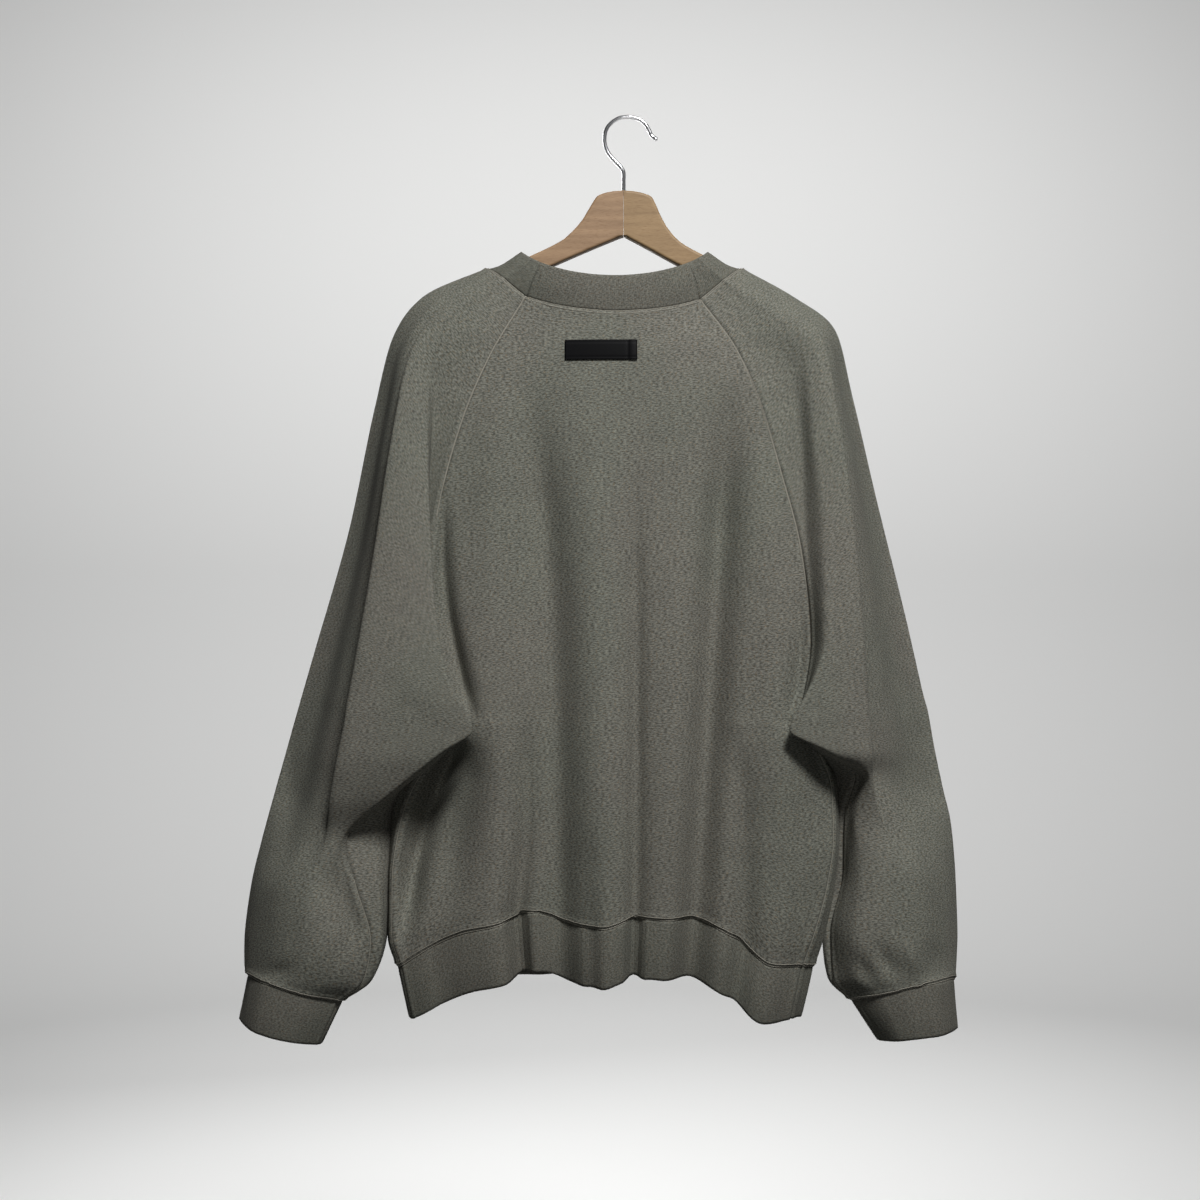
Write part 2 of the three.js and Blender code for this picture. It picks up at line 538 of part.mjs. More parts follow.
// A closed wall: the grid moved out and in by half its thickness, joined round its edges.
function wall(piece) {
  const { rows, ring, thickness } = piece;
  const across = rows[0].length;
  const count = rows.length * across;
  const positions = [];
  for (const side of [0.5, -0.5]) {
    for (let r = 0; r < rows.length; r += 1) {
      for (let c = 0; c < across; c += 1) {
        const out = unit(outward.get(key(rows[r][c])) ?? piece.out);
        positions.push(...plus(pulledIn(piece, r, c), out, side * thickness));
      }
    }
  }
  const triangles = [];
  const at = ([r, c]) => r * across + c;
  const quad = (a, b, c, d) => triangles.push(a, b, c, a, c, d);
  for (const corners of cells(piece)) {
    const [a, b, c, d] = corners.map(at);
    quad(a, b, c, d);
    quad(a + count, d + count, c + count, b + count);
  }
  const last = rows.length - 1;
  const edges = [];
  for (let c = 0; c < (ring ? across : across - 1); c += 1) {
    const next = (c + 1) % across;
    edges.push([[0, next], [0, c]], [[last, c], [last, next]]);
  }
  for (let r = 0; r < last && !ring; r += 1) {
    edges.push([[r, 0], [r + 1, 0]], [[r + 1, across - 1], [r, across - 1]]);
  }
  for (const [from, to] of edges) {
    const [a, b] = (piece.flip ? [to, from] : [from, to]).map(at);
    quad(b, a, a + count, b + count);
  }
  const geometry = new THREE.BufferGeometry();
  geometry.setAttribute('position', new THREE.Float32BufferAttribute(positions, 3));
  geometry.setIndex(triangles);
  geometry.computeVertexNormals();
  return geometry;
}

const material = (color, roughness, metalness = 0) =>
  new THREE.MeshStandardMaterial({ color, roughness, metalness });
const FLEECE = material(0x6d6a62, 0.95);
const RIB = material(0x65625b, 0.95);
const TAPE = material(0x101114, 0.6);
const WOOD_PINK = material(0xb58a68, 0.6);
const WOOD_YELLOW = material(0xbd9468, 0.6);
const STEEL = material(0xc8c8c8, 0.25, 1);

const part = new THREE.Group();
part.name = 'sweatshirt_on_hanger';
const add = (name, geometry, finish) => {
  const mesh = new THREE.Mesh(geometry, finish);
  mesh.name = name;
  part.add(mesh);
};

for (const [name, piece] of Object.entries(cloth)) {
  add(name, wall(piece), piece.thickness === RIB_THICKNESS ? RIB : FLEECE);
}

// The back panel's point at an x and z, found by stepping towards it from the panel's top.
const ROW_HEIGHT = 60;
const TURNS = 30;
function backAt(x, z) {
  let row = 0.5;
  let across = 0.5;
  for (let turn = 0; turn < TURNS; turn += 1) {
    const here = backPoint(row, across);
    across += (x - here[0]) / (backSeamRight(row)[0] - backSeamLeft(row)[0]);
    row += (here[2] - z) / ROW_HEIGHT;
  }
  return backPoint(row, across);
}

// The tab lies on the back panel: the panel's own points under it, moved out.
const tabSteps = (count) => Array.from({ length: count }, (_, i) => i / (count - 1) - 0.5);
const tabLift = FLEECE_THICKNESS / 2 + SEAM_GAP + TAB.thickness / 2;
const tabRows = grid(tabSteps(TAB.rows), tabSteps(TAB.columns), (down, across) =>
  plus(backAt(TAB.x + across * TAB.width, TAB.z - down * TAB.height), [0, -1, 0], tabLift));
add('label_patch', wall({
  rows: tabRows, ring: false, flip: false, thickness: TAB.thickness, out: [0, -1, 0],
}), TAPE);

// One half of the hanger: its outline, carried through its thickness with rounded edges. side is -1
// for the left arm and 1 for the right one.
function hangerArm(outline, side) {
  const middle = HANGER.middle + side * (SEAM_GAP / 2);
  const corners = [[middle, HANGER.neckTop], ...outline, [middle, HANGER.neckFoot]];
  const shape = new THREE.Shape(corners.map(([x, z]) => new THREE.Vector2(x, z)));
  const geometry = new THREE.ExtrudeGeometry(shape, {
    depth: HANGER.thickness - 2 * HANGER.edgeRound,
    bevelEnabled: true,
    bevelThickness: HANGER.edgeRound,
    bevelSize: HANGER.edgeRound,
    bevelOffset: -HANGER.edgeRound,
    bevelSegments: 3,
  });
  geometry.rotateX(Math.PI / 2);
  geometry.translate(0, HANGER.thickness / 2 - HANGER.edgeRound, 0);
  return geometry;
}
add('hanger_arm_left', hangerArm(ARM_LEFT, -1), WOOD_PINK);
add('hanger_arm_right', hangerArm(ARM_RIGHT, 1), WOOD_YELLOW);

// The hook's round wire along its route.
const HOOK_STEPS = 44;
const WIRE_SIDES = 5;
const hookCurve = new THREE.CatmullRomCurve3(
  HOOK_ROUTE.map(([x, z]) => new THREE.Vector3(x, 0, z)), false, 'centripetal');
const wireSection = new THREE.Shape();
wireSection.absarc(0, 0, WIRE / 2, 0, 2 * Math.PI);
add('hanger_hook', new THREE.ExtrudeGeometry(wireSection, {
  steps: HOOK_STEPS, extrudePath: hookCurve, curveSegments: WIRE_SIDES, bevelEnabled: false,
}), STEEL);

for (const mesh of part.children) {
  const geometry = mesh.geometry;
  geometry.deleteAttribute('normal');
  geometry.deleteAttribute('uv');
  mesh.geometry = mergeVertices(geometry, 1e-4);
  mesh.geometry.computeVertexNormals();
}

export default part;
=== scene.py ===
import bmesh
import bpy
import numpy as np
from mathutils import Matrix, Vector


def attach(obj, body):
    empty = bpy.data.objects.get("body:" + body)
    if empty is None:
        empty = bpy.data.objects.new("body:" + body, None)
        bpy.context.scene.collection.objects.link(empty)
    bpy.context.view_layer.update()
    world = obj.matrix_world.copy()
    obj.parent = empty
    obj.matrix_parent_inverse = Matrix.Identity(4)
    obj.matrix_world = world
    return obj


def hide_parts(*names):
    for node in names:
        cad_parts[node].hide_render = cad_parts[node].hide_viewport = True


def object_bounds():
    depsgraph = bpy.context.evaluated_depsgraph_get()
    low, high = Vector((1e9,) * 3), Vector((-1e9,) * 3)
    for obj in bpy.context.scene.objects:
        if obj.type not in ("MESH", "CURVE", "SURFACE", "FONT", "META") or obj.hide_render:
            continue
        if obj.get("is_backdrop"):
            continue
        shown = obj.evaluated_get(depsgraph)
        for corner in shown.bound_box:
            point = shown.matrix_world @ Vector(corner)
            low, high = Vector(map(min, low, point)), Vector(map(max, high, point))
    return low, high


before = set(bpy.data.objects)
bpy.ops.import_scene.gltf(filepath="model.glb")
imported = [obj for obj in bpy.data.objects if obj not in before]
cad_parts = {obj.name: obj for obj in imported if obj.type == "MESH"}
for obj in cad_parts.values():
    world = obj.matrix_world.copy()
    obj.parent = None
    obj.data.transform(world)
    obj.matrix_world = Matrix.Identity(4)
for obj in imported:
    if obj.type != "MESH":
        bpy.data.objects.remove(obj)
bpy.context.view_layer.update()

# The camera looks along +Y at the garment's back. The picture is 1200 by 1200 pixels, and a pixel is
# one millimetre in the hanger's plane.
PICTURE_WIDTH = 1.2
VIEW_DISTANCE = 1.5
VIEW_X = -0.026
VIEW_Z = -0.481
SENSOR_MM = 36.0

camera_data = bpy.data.cameras.new("camera")
camera_data.sensor_width = SENSOR_MM
camera_data.lens = SENSOR_MM * VIEW_DISTANCE / PICTURE_WIDTH
camera = bpy.data.objects.new("camera", camera_data)
camera.location = (VIEW_X, -VIEW_DISTANCE, VIEW_Z)
camera.rotation_euler = (np.pi / 2, 0, 0)
bpy.context.scene.collection.objects.link(camera)
bpy.context.scene.camera = camera


# The studio: one pale surface that is floor in the middle and sweeps up all round, far from the
# garment. The key light stands in front, above and to the right, with a weak fill low in front. One
# light behind shows the garment's far side, and one lights the wall behind it.
FLOOR_Z = -1.95
FLOOR_RADIUS = 4.2
SWEEP_RADIUS = 1.6
WALL_TOP = 2.6
SWEEP_STEPS = 14
STUDIO_SIDES = 96
STUDIO_GREY = (0.86, 0.86, 0.85, 1)
SKY = (0.86, 0.9, 0.94, 1)
SKY_STRENGTH = 0.03
LIGHTS = {
    "key": ((0.62, -2.05, 1.7), 0.6, 96.0),
    "front": ((0.0, -2.6, -1.3), 1.0, 5.0),
    "far": ((-0.6, 2.4, 0.4), 1.0, 45.0),
    "rear": ((0.0, 2.4, 1.6), 3.0, 122.0),
}
LIGHT_TARGET = (-0.02, 0.0, -0.5)
REAR_TARGET = (0.0, 5.6, -0.6)


def surface_mesh(name, grid, uv=None, closed=False, flip=False):
    """A mesh over a grid of points (rows, columns, 3) in metres. Each cell is one quad that runs down,
    across and up, so the cross of down and across faces outwards unless flip turns it round. A closed
    grid joins its last column to its first."""
    rows, columns = grid.shape[:2]
    place = np.arange(rows * columns).reshape(rows, columns)
    if closed:
        place = np.concatenate([place, place[:, :1]], axis=1)
    wide = place.shape[1]
    flat = np.arange(rows * wide).reshape(rows, wide)
    order = [(0, 0), (1, 0), (1, 1), (0, 1)]
    if flip:
        order = order[::-1]
    cut = [(slice(r, rows - 1 + r), slice(c, wide - 1 + c)) for r, c in order]
    quads = np.stack([place[part] for part in cut], axis=-1).reshape(-1, 4)
    mesh = bpy.data.meshes.new(name)
    mesh.vertices.add(rows * columns)
    mesh.vertices.foreach_set("co", grid.reshape(-1, 3).astype(np.float32).ravel())
    mesh.loops.add(quads.size)
    mesh.loops.foreach_set("vertex_index", quads.astype(np.int32).ravel())
    mesh.polygons.add(len(quads))
    mesh.polygons.foreach_set("loop_start", np.arange(0, quads.size, 4, dtype=np.int32))
    if uv is not None:
        corners = np.stack([flat[part] for part in cut], axis=-1).ravel()
        layer = mesh.uv_layers.new(name="cloth")
        layer.uv.foreach_set("vector", uv.reshape(-1, 2)[corners].astype(np.float32).ravel())
    mesh.update(calc_edges=True)
    mesh.validate()
    mesh.shade_smooth()
    piece = bpy.data.objects.new(name, mesh)
    bpy.context.scene.collection.objects.link(piece)
    return piece


def turned(profile, sides):
    """A surface of revolution about Z: each (radius, height) of the profile carried round a circle."""
    angle = np.linspace(0, 2 * np.pi, sides, endpoint=False)
    radius, height = profile[:, :1], profile[:, 1:]
    return np.stack([radius * np.cos(angle), radius * np.sin(angle), height + 0 * angle], axis=-1)


def plain_material(name, colour, roughness, metallic=0.0):
    """A Principled material and its shader, with the constant values on the shader's own sockets."""
    material = bpy.data.materials.new(name)
    material.use_nodes = True
    shader = material.node_tree.nodes["Principled BSDF"]
    shader.inputs["Base Color"].default_value = colour
    shader.inputs["Roughness"].default_value = roughness
    shader.inputs["Metallic"].default_value = metallic
    return material, shader


sweep = np.linspace(0, np.pi / 2, SWEEP_STEPS)[:, None]
studio_profile = np.concatenate([
    [[FLOOR_RADIUS + SWEEP_RADIUS, WALL_TOP]],
    np.hstack([
        FLOOR_RADIUS + SWEEP_RADIUS * np.cos(sweep),
        FLOOR_Z + SWEEP_RADIUS * (1 - np.sin(sweep)),
    ]),
    [[0.0, FLOOR_Z]],
])
studio = surface_mesh("studio", turned(studio_profile, STUDIO_SIDES), closed=True)
paper, shader = plain_material("studio_paper", STUDIO_GREY, 0.9)
studio.data.materials.append(paper)
studio.visible_diffuse = False
studio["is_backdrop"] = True

sky = bpy.data.worlds.new("sky")
sky.use_nodes = True
sky.node_tree.nodes["Background"].inputs["Color"].default_value = SKY
sky.node_tree.nodes["Background"].inputs["Strength"].default_value = SKY_STRENGTH
bpy.context.scene.world = sky
bpy.context.scene.view_settings.view_transform = "Standard"

for light_name, (place, size, power) in LIGHTS.items():
    light_data = bpy.data.lights.new(light_name, "AREA")
    light_data.size = size
    light_data.energy = power
    light = bpy.data.objects.new(light_name, light_data)
    light.location = place
    aim = Vector(REAR_TARGET if light_name == "rear" else LIGHT_TARGET) - Vector(place)
    light.rotation_euler = aim.to_track_quat("-Z", "Y").to_euler()
    bpy.context.scene.collection.objects.link(light)


# The hook: bright plated steel wire, bent cold, screwed into the wood, with its free end turned
# outwards and rounded into a small bead. Its bends are x and z in millimetres.
MM = 0.001
WIRE_RADIUS = 1.9
WIRE_STEPS = 180
WIRE_SIDES = 20
BEAD_SWELL = 0.22
BEAD_PLACE = 2.2
BEAD_HALF_LENGTH = 1.8
HOOK_BENDS = np.array([
    [-2.3, -76], [-2.3, -62], [-2.3, -54.5], [-4.4, -49.3], [-10.5, -42.6], [-17, -35.2],
    [-20.6, -27], [-21.3, -18.5], [-19.4, -10], [-14, -3.4], [-6.5, 0.9], [0, 1.9],
    [6, 1.6], [13.6, -0.6], [19.6, -5.6], [23.6, -12.6], [25.2, -16.2], [28.6, -19.2], [31.4, -21],
])
STEEL = (0.78, 0.78, 0.8, 1)


def smooth(values, t):
    """A run through values[0] ... values[-1] at t from 0 to 1, as cubic pieces whose slope at a value
    is the harmonic mean of the steps on its two sides, or level where they differ in sign, so it
    never passes its neighbours. values has any shape after its first axis."""
    values = np.asarray(values, float)
    steps = np.diff(values, axis=0)
    product = steps[:-1] * steps[1:]
    total = np.where(steps[:-1] + steps[1:] == 0, 1, steps[:-1] + steps[1:])
    inner = np.where(product > 0, 2 * product / total, 0)
    slopes = np.concatenate([steps[:1], inner, steps[-1:]])
    place = np.clip(t, 0, 1) * (len(values) - 1)
    i = np.minimum(place.astype(int), len(values) - 2)
    f = (place - i).reshape(place.shape + (1,) * (values.ndim - 1))
    return (
        (2 * f**3 - 3 * f**2 + 1) * values[i]
        + (f**3 - 2 * f**2 + f) * slopes[i]
        + (3 * f**2 - 2 * f**3) * values[i + 1]
        + (f**3 - f**2) * slopes[i + 1]
    )


def unit(vectors):
    """Each vector divided by its own length."""
    return vectors / np.maximum(np.linalg.norm(vectors, axis=-1, keepdims=True), 1e-12)


def rounded(points, count):
    """A Catmull-Rom curve through the points: at each, its slope is half the chord of its neighbours."""
    ends = np.concatenate([2 * points[:1] - points[1:2], points, 2 * points[-1:] - points[-2:-1]])
    place = np.linspace(0, len(points) - 1, count)
    i = np.minimum(place.astype(int), len(points) - 2)
    f = (place - i)[:, None]
    a, b, c, d = ends[i], ends[i + 1], ends[i + 2], ends[i + 3]
    return b + 0.5 * f * (c - a + f * (2 * a - 5 * b + 4 * c - d + f * (3 * (b - c) + d - a)))


def tube(path, across, radius, sides):
    """A round section carried along a path. The section's two axes are the given direction, made
    square to the path, and the cross of the path and that direction."""
    along = unit(np.gradient(path, axis=0))
    first = unit(across - along * (across * along).sum(-1, keepdims=True))
    second = np.cross(along, first)
    angle = np.linspace(0, 2 * np.pi, sides, endpoint=False)[None, :, None]
    ring = first[:, None] * np.cos(angle) + second[:, None] * np.sin(angle)
    return path[:, None] + ring * np.reshape(radius, (-1, 1, 1))


def bell(distance, half_width):
    """A bell curve, 1 at no distance: e to the power of minus (distance over half width) squared."""
    return np.exp(-((distance / half_width) ** 2))


def set_inputs(material, node, inputs):
    """Each named input of a node set to its value, or joined to the output that is given for it."""
    for name, value in inputs.items():
        if isinstance(value, bpy.types.NodeSocket):
            material.node_tree.links.new(value, node.inputs[name])
        else:
            node.inputs[name].default_value = value


def add_node(material, kind, inputs, **settings):
    """A new shader node in a material, with its settings and its inputs."""
    node = material.node_tree.nodes.new(f"ShaderNode{kind}")
    for name, value in settings.items():
        setattr(node, name, value)
    set_inputs(material, node, inputs)
    return node


def object_place(material):
    """The place on the object in its own metres."""
    return add_node(material, "TexCoord", {}).outputs["Object"]


def noise(material, place, scale, dimensions="3D", turn=0.0, **inputs):
    """Noise over a place, scaled along each of its axes and then turned about Y."""
    mapping = add_node(material, "Mapping", {"Vector": place, "Rotation": (0, turn, 0), "Scale": scale})
    inputs = {"Vector": mapping.outputs["Vector"], "Scale": 1.0, **inputs}
    return add_node(material, "TexNoise", inputs, noise_dimensions=dimensions).outputs["Fac"]


hook_path = rounded(HOOK_BENDS, WIRE_STEPS)
hook_path = np.stack([hook_path[:, 0], 0 * hook_path[:, 0], hook_path[:, 1]], axis=-1)
from_tip = np.linalg.norm(hook_path - hook_path[-1], axis=-1)
tip_share = np.clip(from_tip / WIRE_RADIUS, 0, 1)
wire_radius = WIRE_RADIUS * np.sqrt(np.clip(1 - (1 - tip_share) ** 2, 0.0004, 1))
wire_radius *= 1 + BEAD_SWELL * bell(from_tip - BEAD_PLACE, BEAD_HALF_LENGTH)
hook_grid = tube(hook_path, np.tile([0.0, 1.0, 0.0], (len(hook_path), 1)), wire_radius, WIRE_SIDES)
hook = surface_mesh("hook_wire", hook_grid * MM, closed=True)

steel, shader = plain_material("plated_steel", STEEL, 0.16, 1.0)
scratches = noise(steel, object_place(steel), (900, 900, 900), Detail=3)
dulled = add_node(steel, "MapRange", {"Value": scratches, "To Min": 0.1, "To Max": 0.3})
set_inputs(steel, shader, {"Roughness": dulled.outputs["Result"]})
hook.data.materials.append(steel)
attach(hook, "root")
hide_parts("hanger_hook")


# The hanger: two arms of pale hardwood, 12 mm thick, glued together at the middle, with their long
# edges rounded over. The left half is pinker than the right one. Their outlines are x and z.
ARM_HALF_THICK = 6.0
ARM_ROUND = 2.6
ARM_ROUND_STEPS = 6
ARM_MIDDLE = -2.5
ARM_STEPS = 150
ARM_SLOPE = 0.44
# The edges come to their full rounding at this distance from the glued middle.
SQUARE_END = 3.0
ARM_LEFT = [
    [-2.65, -72.6], [-14, -73.4], [-24, -75.8], [-29.5, -79], [-34, -85.5], [-39, -94], [-45, -103.5],
    [-56, -115.5], [-67, -124], [-95, -137.6], [-137, -155.3], [-170, -169], [-190, -180],
    [-201, -188.5], [-204.5, -197], [-200, -203], [-190, -203.5], [-160, -189], [-120, -169],
    [-74, -148], [-35, -131], [-2.65, -117.6],
]
ARM_RIGHT = [
    [-2.35, -72.6], [9, -73.4], [19, -75.8], [25.5, -79], [29.5, -86], [35, -98.5], [43, -112],
    [55, -124.5], [73, -134.8], [88, -141.5], [114, -155], [140, -167.3], [164, -181], [184, -195],
    [193.5, -205], [188, -211], [176, -207.5], [150, -193.5], [110, -174.5], [55, -148.5],
    [20, -129.5], [-2.35, -117.6],
]
PINK_WOOD = ((0.3, 0.19, 0.108, 1), (0.39, 0.252, 0.146, 1))
YELLOW_WOOD = ((0.29, 0.188, 0.095, 1), (0.375, 0.248, 0.128, 1))


def inset(outline, distance):
    """A closed outline moved inwards: each point shifts against its own normal, which is the turned
    chord of its two neighbours."""
    chord = np.roll(outline, -1, axis=0) - np.roll(outline, 1, axis=0)
    normal = unit(np.stack([chord[:, 1], -chord[:, 0]], axis=-1))
    area = (outline[:, 0] * np.roll(outline[:, 1], -1) - np.roll(outline[:, 0], -1) * outline[:, 1]).sum()
    return outline - normal * distance * np.sign(area)


def arm_mesh(name, corners):
    """A flat board with rounded edges: rings of one outline, inset by one minus the cosine of a
    quarter turn at each face, with a flat face over each end ring. The glued end stays square."""
    outline = rounded(np.array(corners, float), ARM_STEPS)
    keep = np.clip(np.abs(outline[:, 0] - ARM_MIDDLE) / SQUARE_END - 0.05, 0, 1)[:, None]
    turn = np.linspace(0, np.pi / 2, ARM_ROUND_STEPS)
    rings = []
    for side in (-1, 1):
        for angle in turn[::side]:
            ring = inset(outline, ARM_ROUND * (1 - np.cos(angle)))
            ring = outline + (ring - outline) * keep
            depth = side * (ARM_HALF_THICK - ARM_ROUND * (1 - np.sin(angle)))
            rings.append(np.stack([ring[:, 0], np.full(len(ring), depth), ring[:, 1]], axis=-1))
    piece = surface_mesh(name, np.array(rings) * MM, closed=True)
    work = bmesh.new()
    work.from_mesh(piece.data)
    work.verts.ensure_lookup_table()
    faces = [work.faces.new(work.verts[:ARM_STEPS]), work.faces.new(work.verts[-ARM_STEPS:])]
    bmesh.ops.recalc_face_normals(work, faces=work.faces)
    bmesh.ops.triangulate(work, faces=faces)
    work.to_mesh(piece.data)
    work.free()
    return piece


def colour_run(material, value, stops):
    """The colour that belongs to a value on a run of stops, each a value and its colour."""
    node = add_node(material, "ValToRGB", {"Fac": value})
    for element, (position, colour) in zip(node.color_ramp.elements, (stops[0], stops[-1])):
        element.position = position
        element.color = colour
    for position, colour in stops[1:-1]:
        node.color_ramp.elements.new(position).color = colour
    return node.outputs["Color"]


def multiplied(material, colour, tint, factor=1.0):
    """A colour multiplied by another one, by a share from 0 to 1."""
    inputs = {"Factor": factor, "A": colour, "B": tint}
    return add_node(material, "Mix", inputs, data_type="RGBA", blend_type="MULTIPLY").outputs["Result"]


def add_bump(material, shader, height, strength, distance):
    """A bump of a given height on a shader."""
    bump = add_node(material, "Bump", {"Height": height, "Strength": strength, "Distance": distance})
    set_inputs(material, shader, {"Normal": bump.outputs["Normal"]})


def wood_material(name, tones, slope):
    """Grain as noise drawn out long from side to side, in bands of lighter and darker wood, with fine
    pores that also roughen it. Each arm's noise is turned its own way, so that the two differ."""
    dark, light = tones
    material, shader = plain_material(name, light, 0.5)
    place = object_place(material)
    bands = noise(material, place, (14, 160, 160), turn=slope, Detail=5, Distortion=0.6)
    pores = noise(material, place, (180, 1500, 1500), turn=slope, Detail=3)
    colour = colour_run(material, bands, [(0.34, dark), (0.66, light)])
    pore_tint = colour_run(material, pores, [(0.3, (0.72, 0.66, 0.6, 1)), (0.5, (1, 1, 1, 1))])
    colour = multiplied(material, colour, pore_tint, 0.8)
    set_inputs(material, shader, {"Specular IOR Level": 0.35, "Base Color": colour})
    add_bump(material, shader, pores, 0.12, 0.0004)
    return material


for side, corners, tones, slope in (
    ("left", ARM_LEFT, PINK_WOOD, ARM_SLOPE),
    ("right", ARM_RIGHT, YELLOW_WOOD, -ARM_SLOPE),
):
    arm = arm_mesh(f"wooden_arm_{side}", corners)
    arm.data.materials.append(wood_material(f"wood_{side}", tones, slope))
    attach(arm, "root")
    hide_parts(f"hanger_arm_{side}")


# The sleeves: raglan sleeves of heavy brushed-back fleece, each cut as one piece, sewn to the body
# from the neck to the armpit and to itself down the underarm. On the hanger the spare cloth under
# each arm stands in front as one big fold.
FLEECE_THICK = 2.2
EDGE_IN = 5.0
EDGE_OUT = 9.0
EDGE_DROP = 2.0
FLAP_BULGE = 3.0
FLAP_DEPTH = 1.17
UNDERCUT = 4
# How far each section is an undercut fold, from 0 to 1, and how far its outer edge is set back.
YOKE_RELIEF = [0.1, 0.3, 0.7, 1, 1, 1, 1, 1]
YOKE_BACK = [2, 3, 6, 16, 26, 30, 30, 30]
FOREARM_RELIEF = [1, 1, 0.3, 0, 0, 0, 0]
FOREARM_BACK = [30, 28, 24, 20, 17, 13, 8]
# The share of that setback which the far side takes too.
FAR_SHARE = 0.45
# Four places between the fold's outer ridge and the edge, as shares of the width, and the share of
# the depth at each, on a round sleeve and beside an undercut fold on the left and on the right.
ROUND_PLACES = np.array([0.1, 0.3, 0.6, 0.9])
ROUND_DEPTHS = np.array([0.03, 0.14, 0.42, 0.8])
FOLD_PLACES = np.array([0.0, 0.3, 0.6, 0.9])
FOLD_DEPTHS_LEFT = np.array([0.16, 0.44, 0.78, 0.95])
FOLD_DEPTHS_RIGHT = np.array([0.16, 0.44, 0.74, 0.96])
# Places over the far side, from the edge to the front seam, with how far each has sunk to the seam's
# depth, and the two that the forearm's far side has.
FAR_PLACES = np.array([0.3, 0.5, 0.7, 0.86, 1.0])
FAR_SINK = np.array([0, 0.12, 0.35, 0.68, 1.0])
FOREARM_FAR_PLACES = (0.33, 0.72)
YOKE_STEPS = 124
FOREARM_STEPS = 96
STEPS_ACROSS = 10
# The two runs of a sleeve blend into one within this share of the way across.
CORNER_FADE = 0.06
EVEN_ROUNDS = 6
# How deep cloth dips into a seam, how far it swells beside it, where, and each half width.
SEAM_DIP = 1.7
DIP_HALF_WIDTH = 1.6
SEAM_SWELL = 0.8
SWELL_PLACE = 4.2
SWELL_HALF_WIDTH = 2.2
# How far the near side of each cuff seam arches up over the line between its two ends.
ARCH = {"left": 8, "right": 13}
ARCH_POWER = 4
# seam x z y, crease x y, fold's inner ridge x y, fold's outer ridge x y, edge x z y, front seam x z y,
# depth of the far side
YOKE_LEFT = [
    [-99, -182, -24, -108, -21, -116, -17, -125, -13, -137, -149, 0, -87, -213, 24, 15],
    [-135, -244, -32, -151, -29, -170, -25, -185, -19, -203, -178, 1, -108, -269, 27, 22],
    [-162, -310, -37, -184, -27, -196, -30, -212, -28, -232, -214, 3, -124, -324, 28, 25],
    [-183, -388, -38, -195, -29, -192, -44, -228, -40, -254, -290, 4, -135, -389, 28, 26],
    [-197, -481, -42, -199, -42, -183, -58, -244, -50, -281, -409, 6, -143, -471, 28, 26],
    [-188, -556, -50, -189, -56, -168, -66, -260, -56, -315, -525, 8, -147, -546, 22, 25],
    [-165, -591, -50, -166, -58, -148, -66, -268, -57, -330, -577, 8, -149, -589, 4, 24],
    [-164, -604, -26, -162, -46, -147, -65.6, -270, -56.8, -334, -591, 8, -149, -604, -18, 24],
]
YOKE_RIGHT = [
    [72, -185, -24, 82, -21, 91, -17, 100, -13, 114, -149, 0, 65, -213, 24, 15],
    [107, -235, -32, 122, -29, 138, -25, 153, -19, 169, -179, 1, 87, -269, 27, 22],
    [129, -286, -37, 159, -30, 175, -31, 191, -28, 209, -209, 3, 105, -324, 28, 25],
    [150, -356, -40, 170, -37, 182, -43, 205, -38, 229, -276, 4, 121, -389, 28, 26],
    [169, -432, -44, 175, -46, 190, -54, 218, -48, 256, -381, 6, 136, -471, 28, 26],
    [179, -520, -48, 182, -55, 190, -62, 226, -55, 285, -493, 8, 151, -546, 22, 25],
    [168, -593, -50, 169, -58, 157, -66, 231, -56, 305, -580, 8, 160, -589, 4, 24],
    [172, -604, -28, 170, -46, 154, -65.6, 232, -55.8, 309, -594, 8, 160, -604, -18, 24],
]
# the same up to the edge, then the sleeve's inner edge x z y, the turn back to the seam x y, and the
# depth of the far side
FOREARM_LEFT = [
    [-178, -626, -46, -174, -54, -178, -63.5, -277, -55, -346, -632, 9, -198, -633, 2, -189, -25, 23],
    [-227, -667, -42, -224, -47, -230, -52, -286, -46, -358, -677, 9, -232, -673, 3, -225, -20, 22],
    [-276, -714, -30, -275, -32, -278, -34, -293, -32, -370, -724, 9, -236, -717, 4, -249, -20, 22],
    [-265, -760, -33, -276, -36, -290, -38, -320, -37, -380, -770, 8, -236, -762, 5, -243, -22, 22],
    [-251, -814, -28, -266, -35, -284, -40, -323, -39, -386, -823, 7, -240, -818, 5, -241, -22, 21],
    [-259, -856, -22, -272, -29, -295, -34, -334, -33, -385, -848, 6, -253, -856, 4, -252, -15, 19],
    [-284, -878, -14, -295, -24, -314, -29, -348, -28, -381, -859, 4, -284, -880, 3, -282, -3, 15],
]
FOREARM_RIGHT = [
    [184, -625, -38, 184, -50, 194, -62, 235, -54, 316, -632, 9, 186, -633, 2, 183, -20, 23],
    [224, -652, -30, 229, -36, 232, -42, 237, -42, 324, -672, 9, 210, -661, 3, 214, -15, 22],
    [217, -700, -10, 220, -20, 224, -30, 247, -32, 332, -712, 9, 212, -696, 3, 211, -6, 22],
    [217, -750, -8, 219, -22, 229, -34, 266, -37, 335, -762, 8, 209, -750, 5, 209, -3, 22],
    [204, -809, -8, 209, -23, 224, -37, 269, -39, 336, -813, 7, 198, -815, 5, 197, -3, 21],
    [205, -855, -10, 215, -23, 233, -34, 275, -34, 334, -844, 6, 203, -858, 4, 202, -2, 19],
    [224, -878, -10, 233, -22, 250, -29, 291, -29, 331, -864, 4, 225, -880, 3, 224, 0, 15],
]
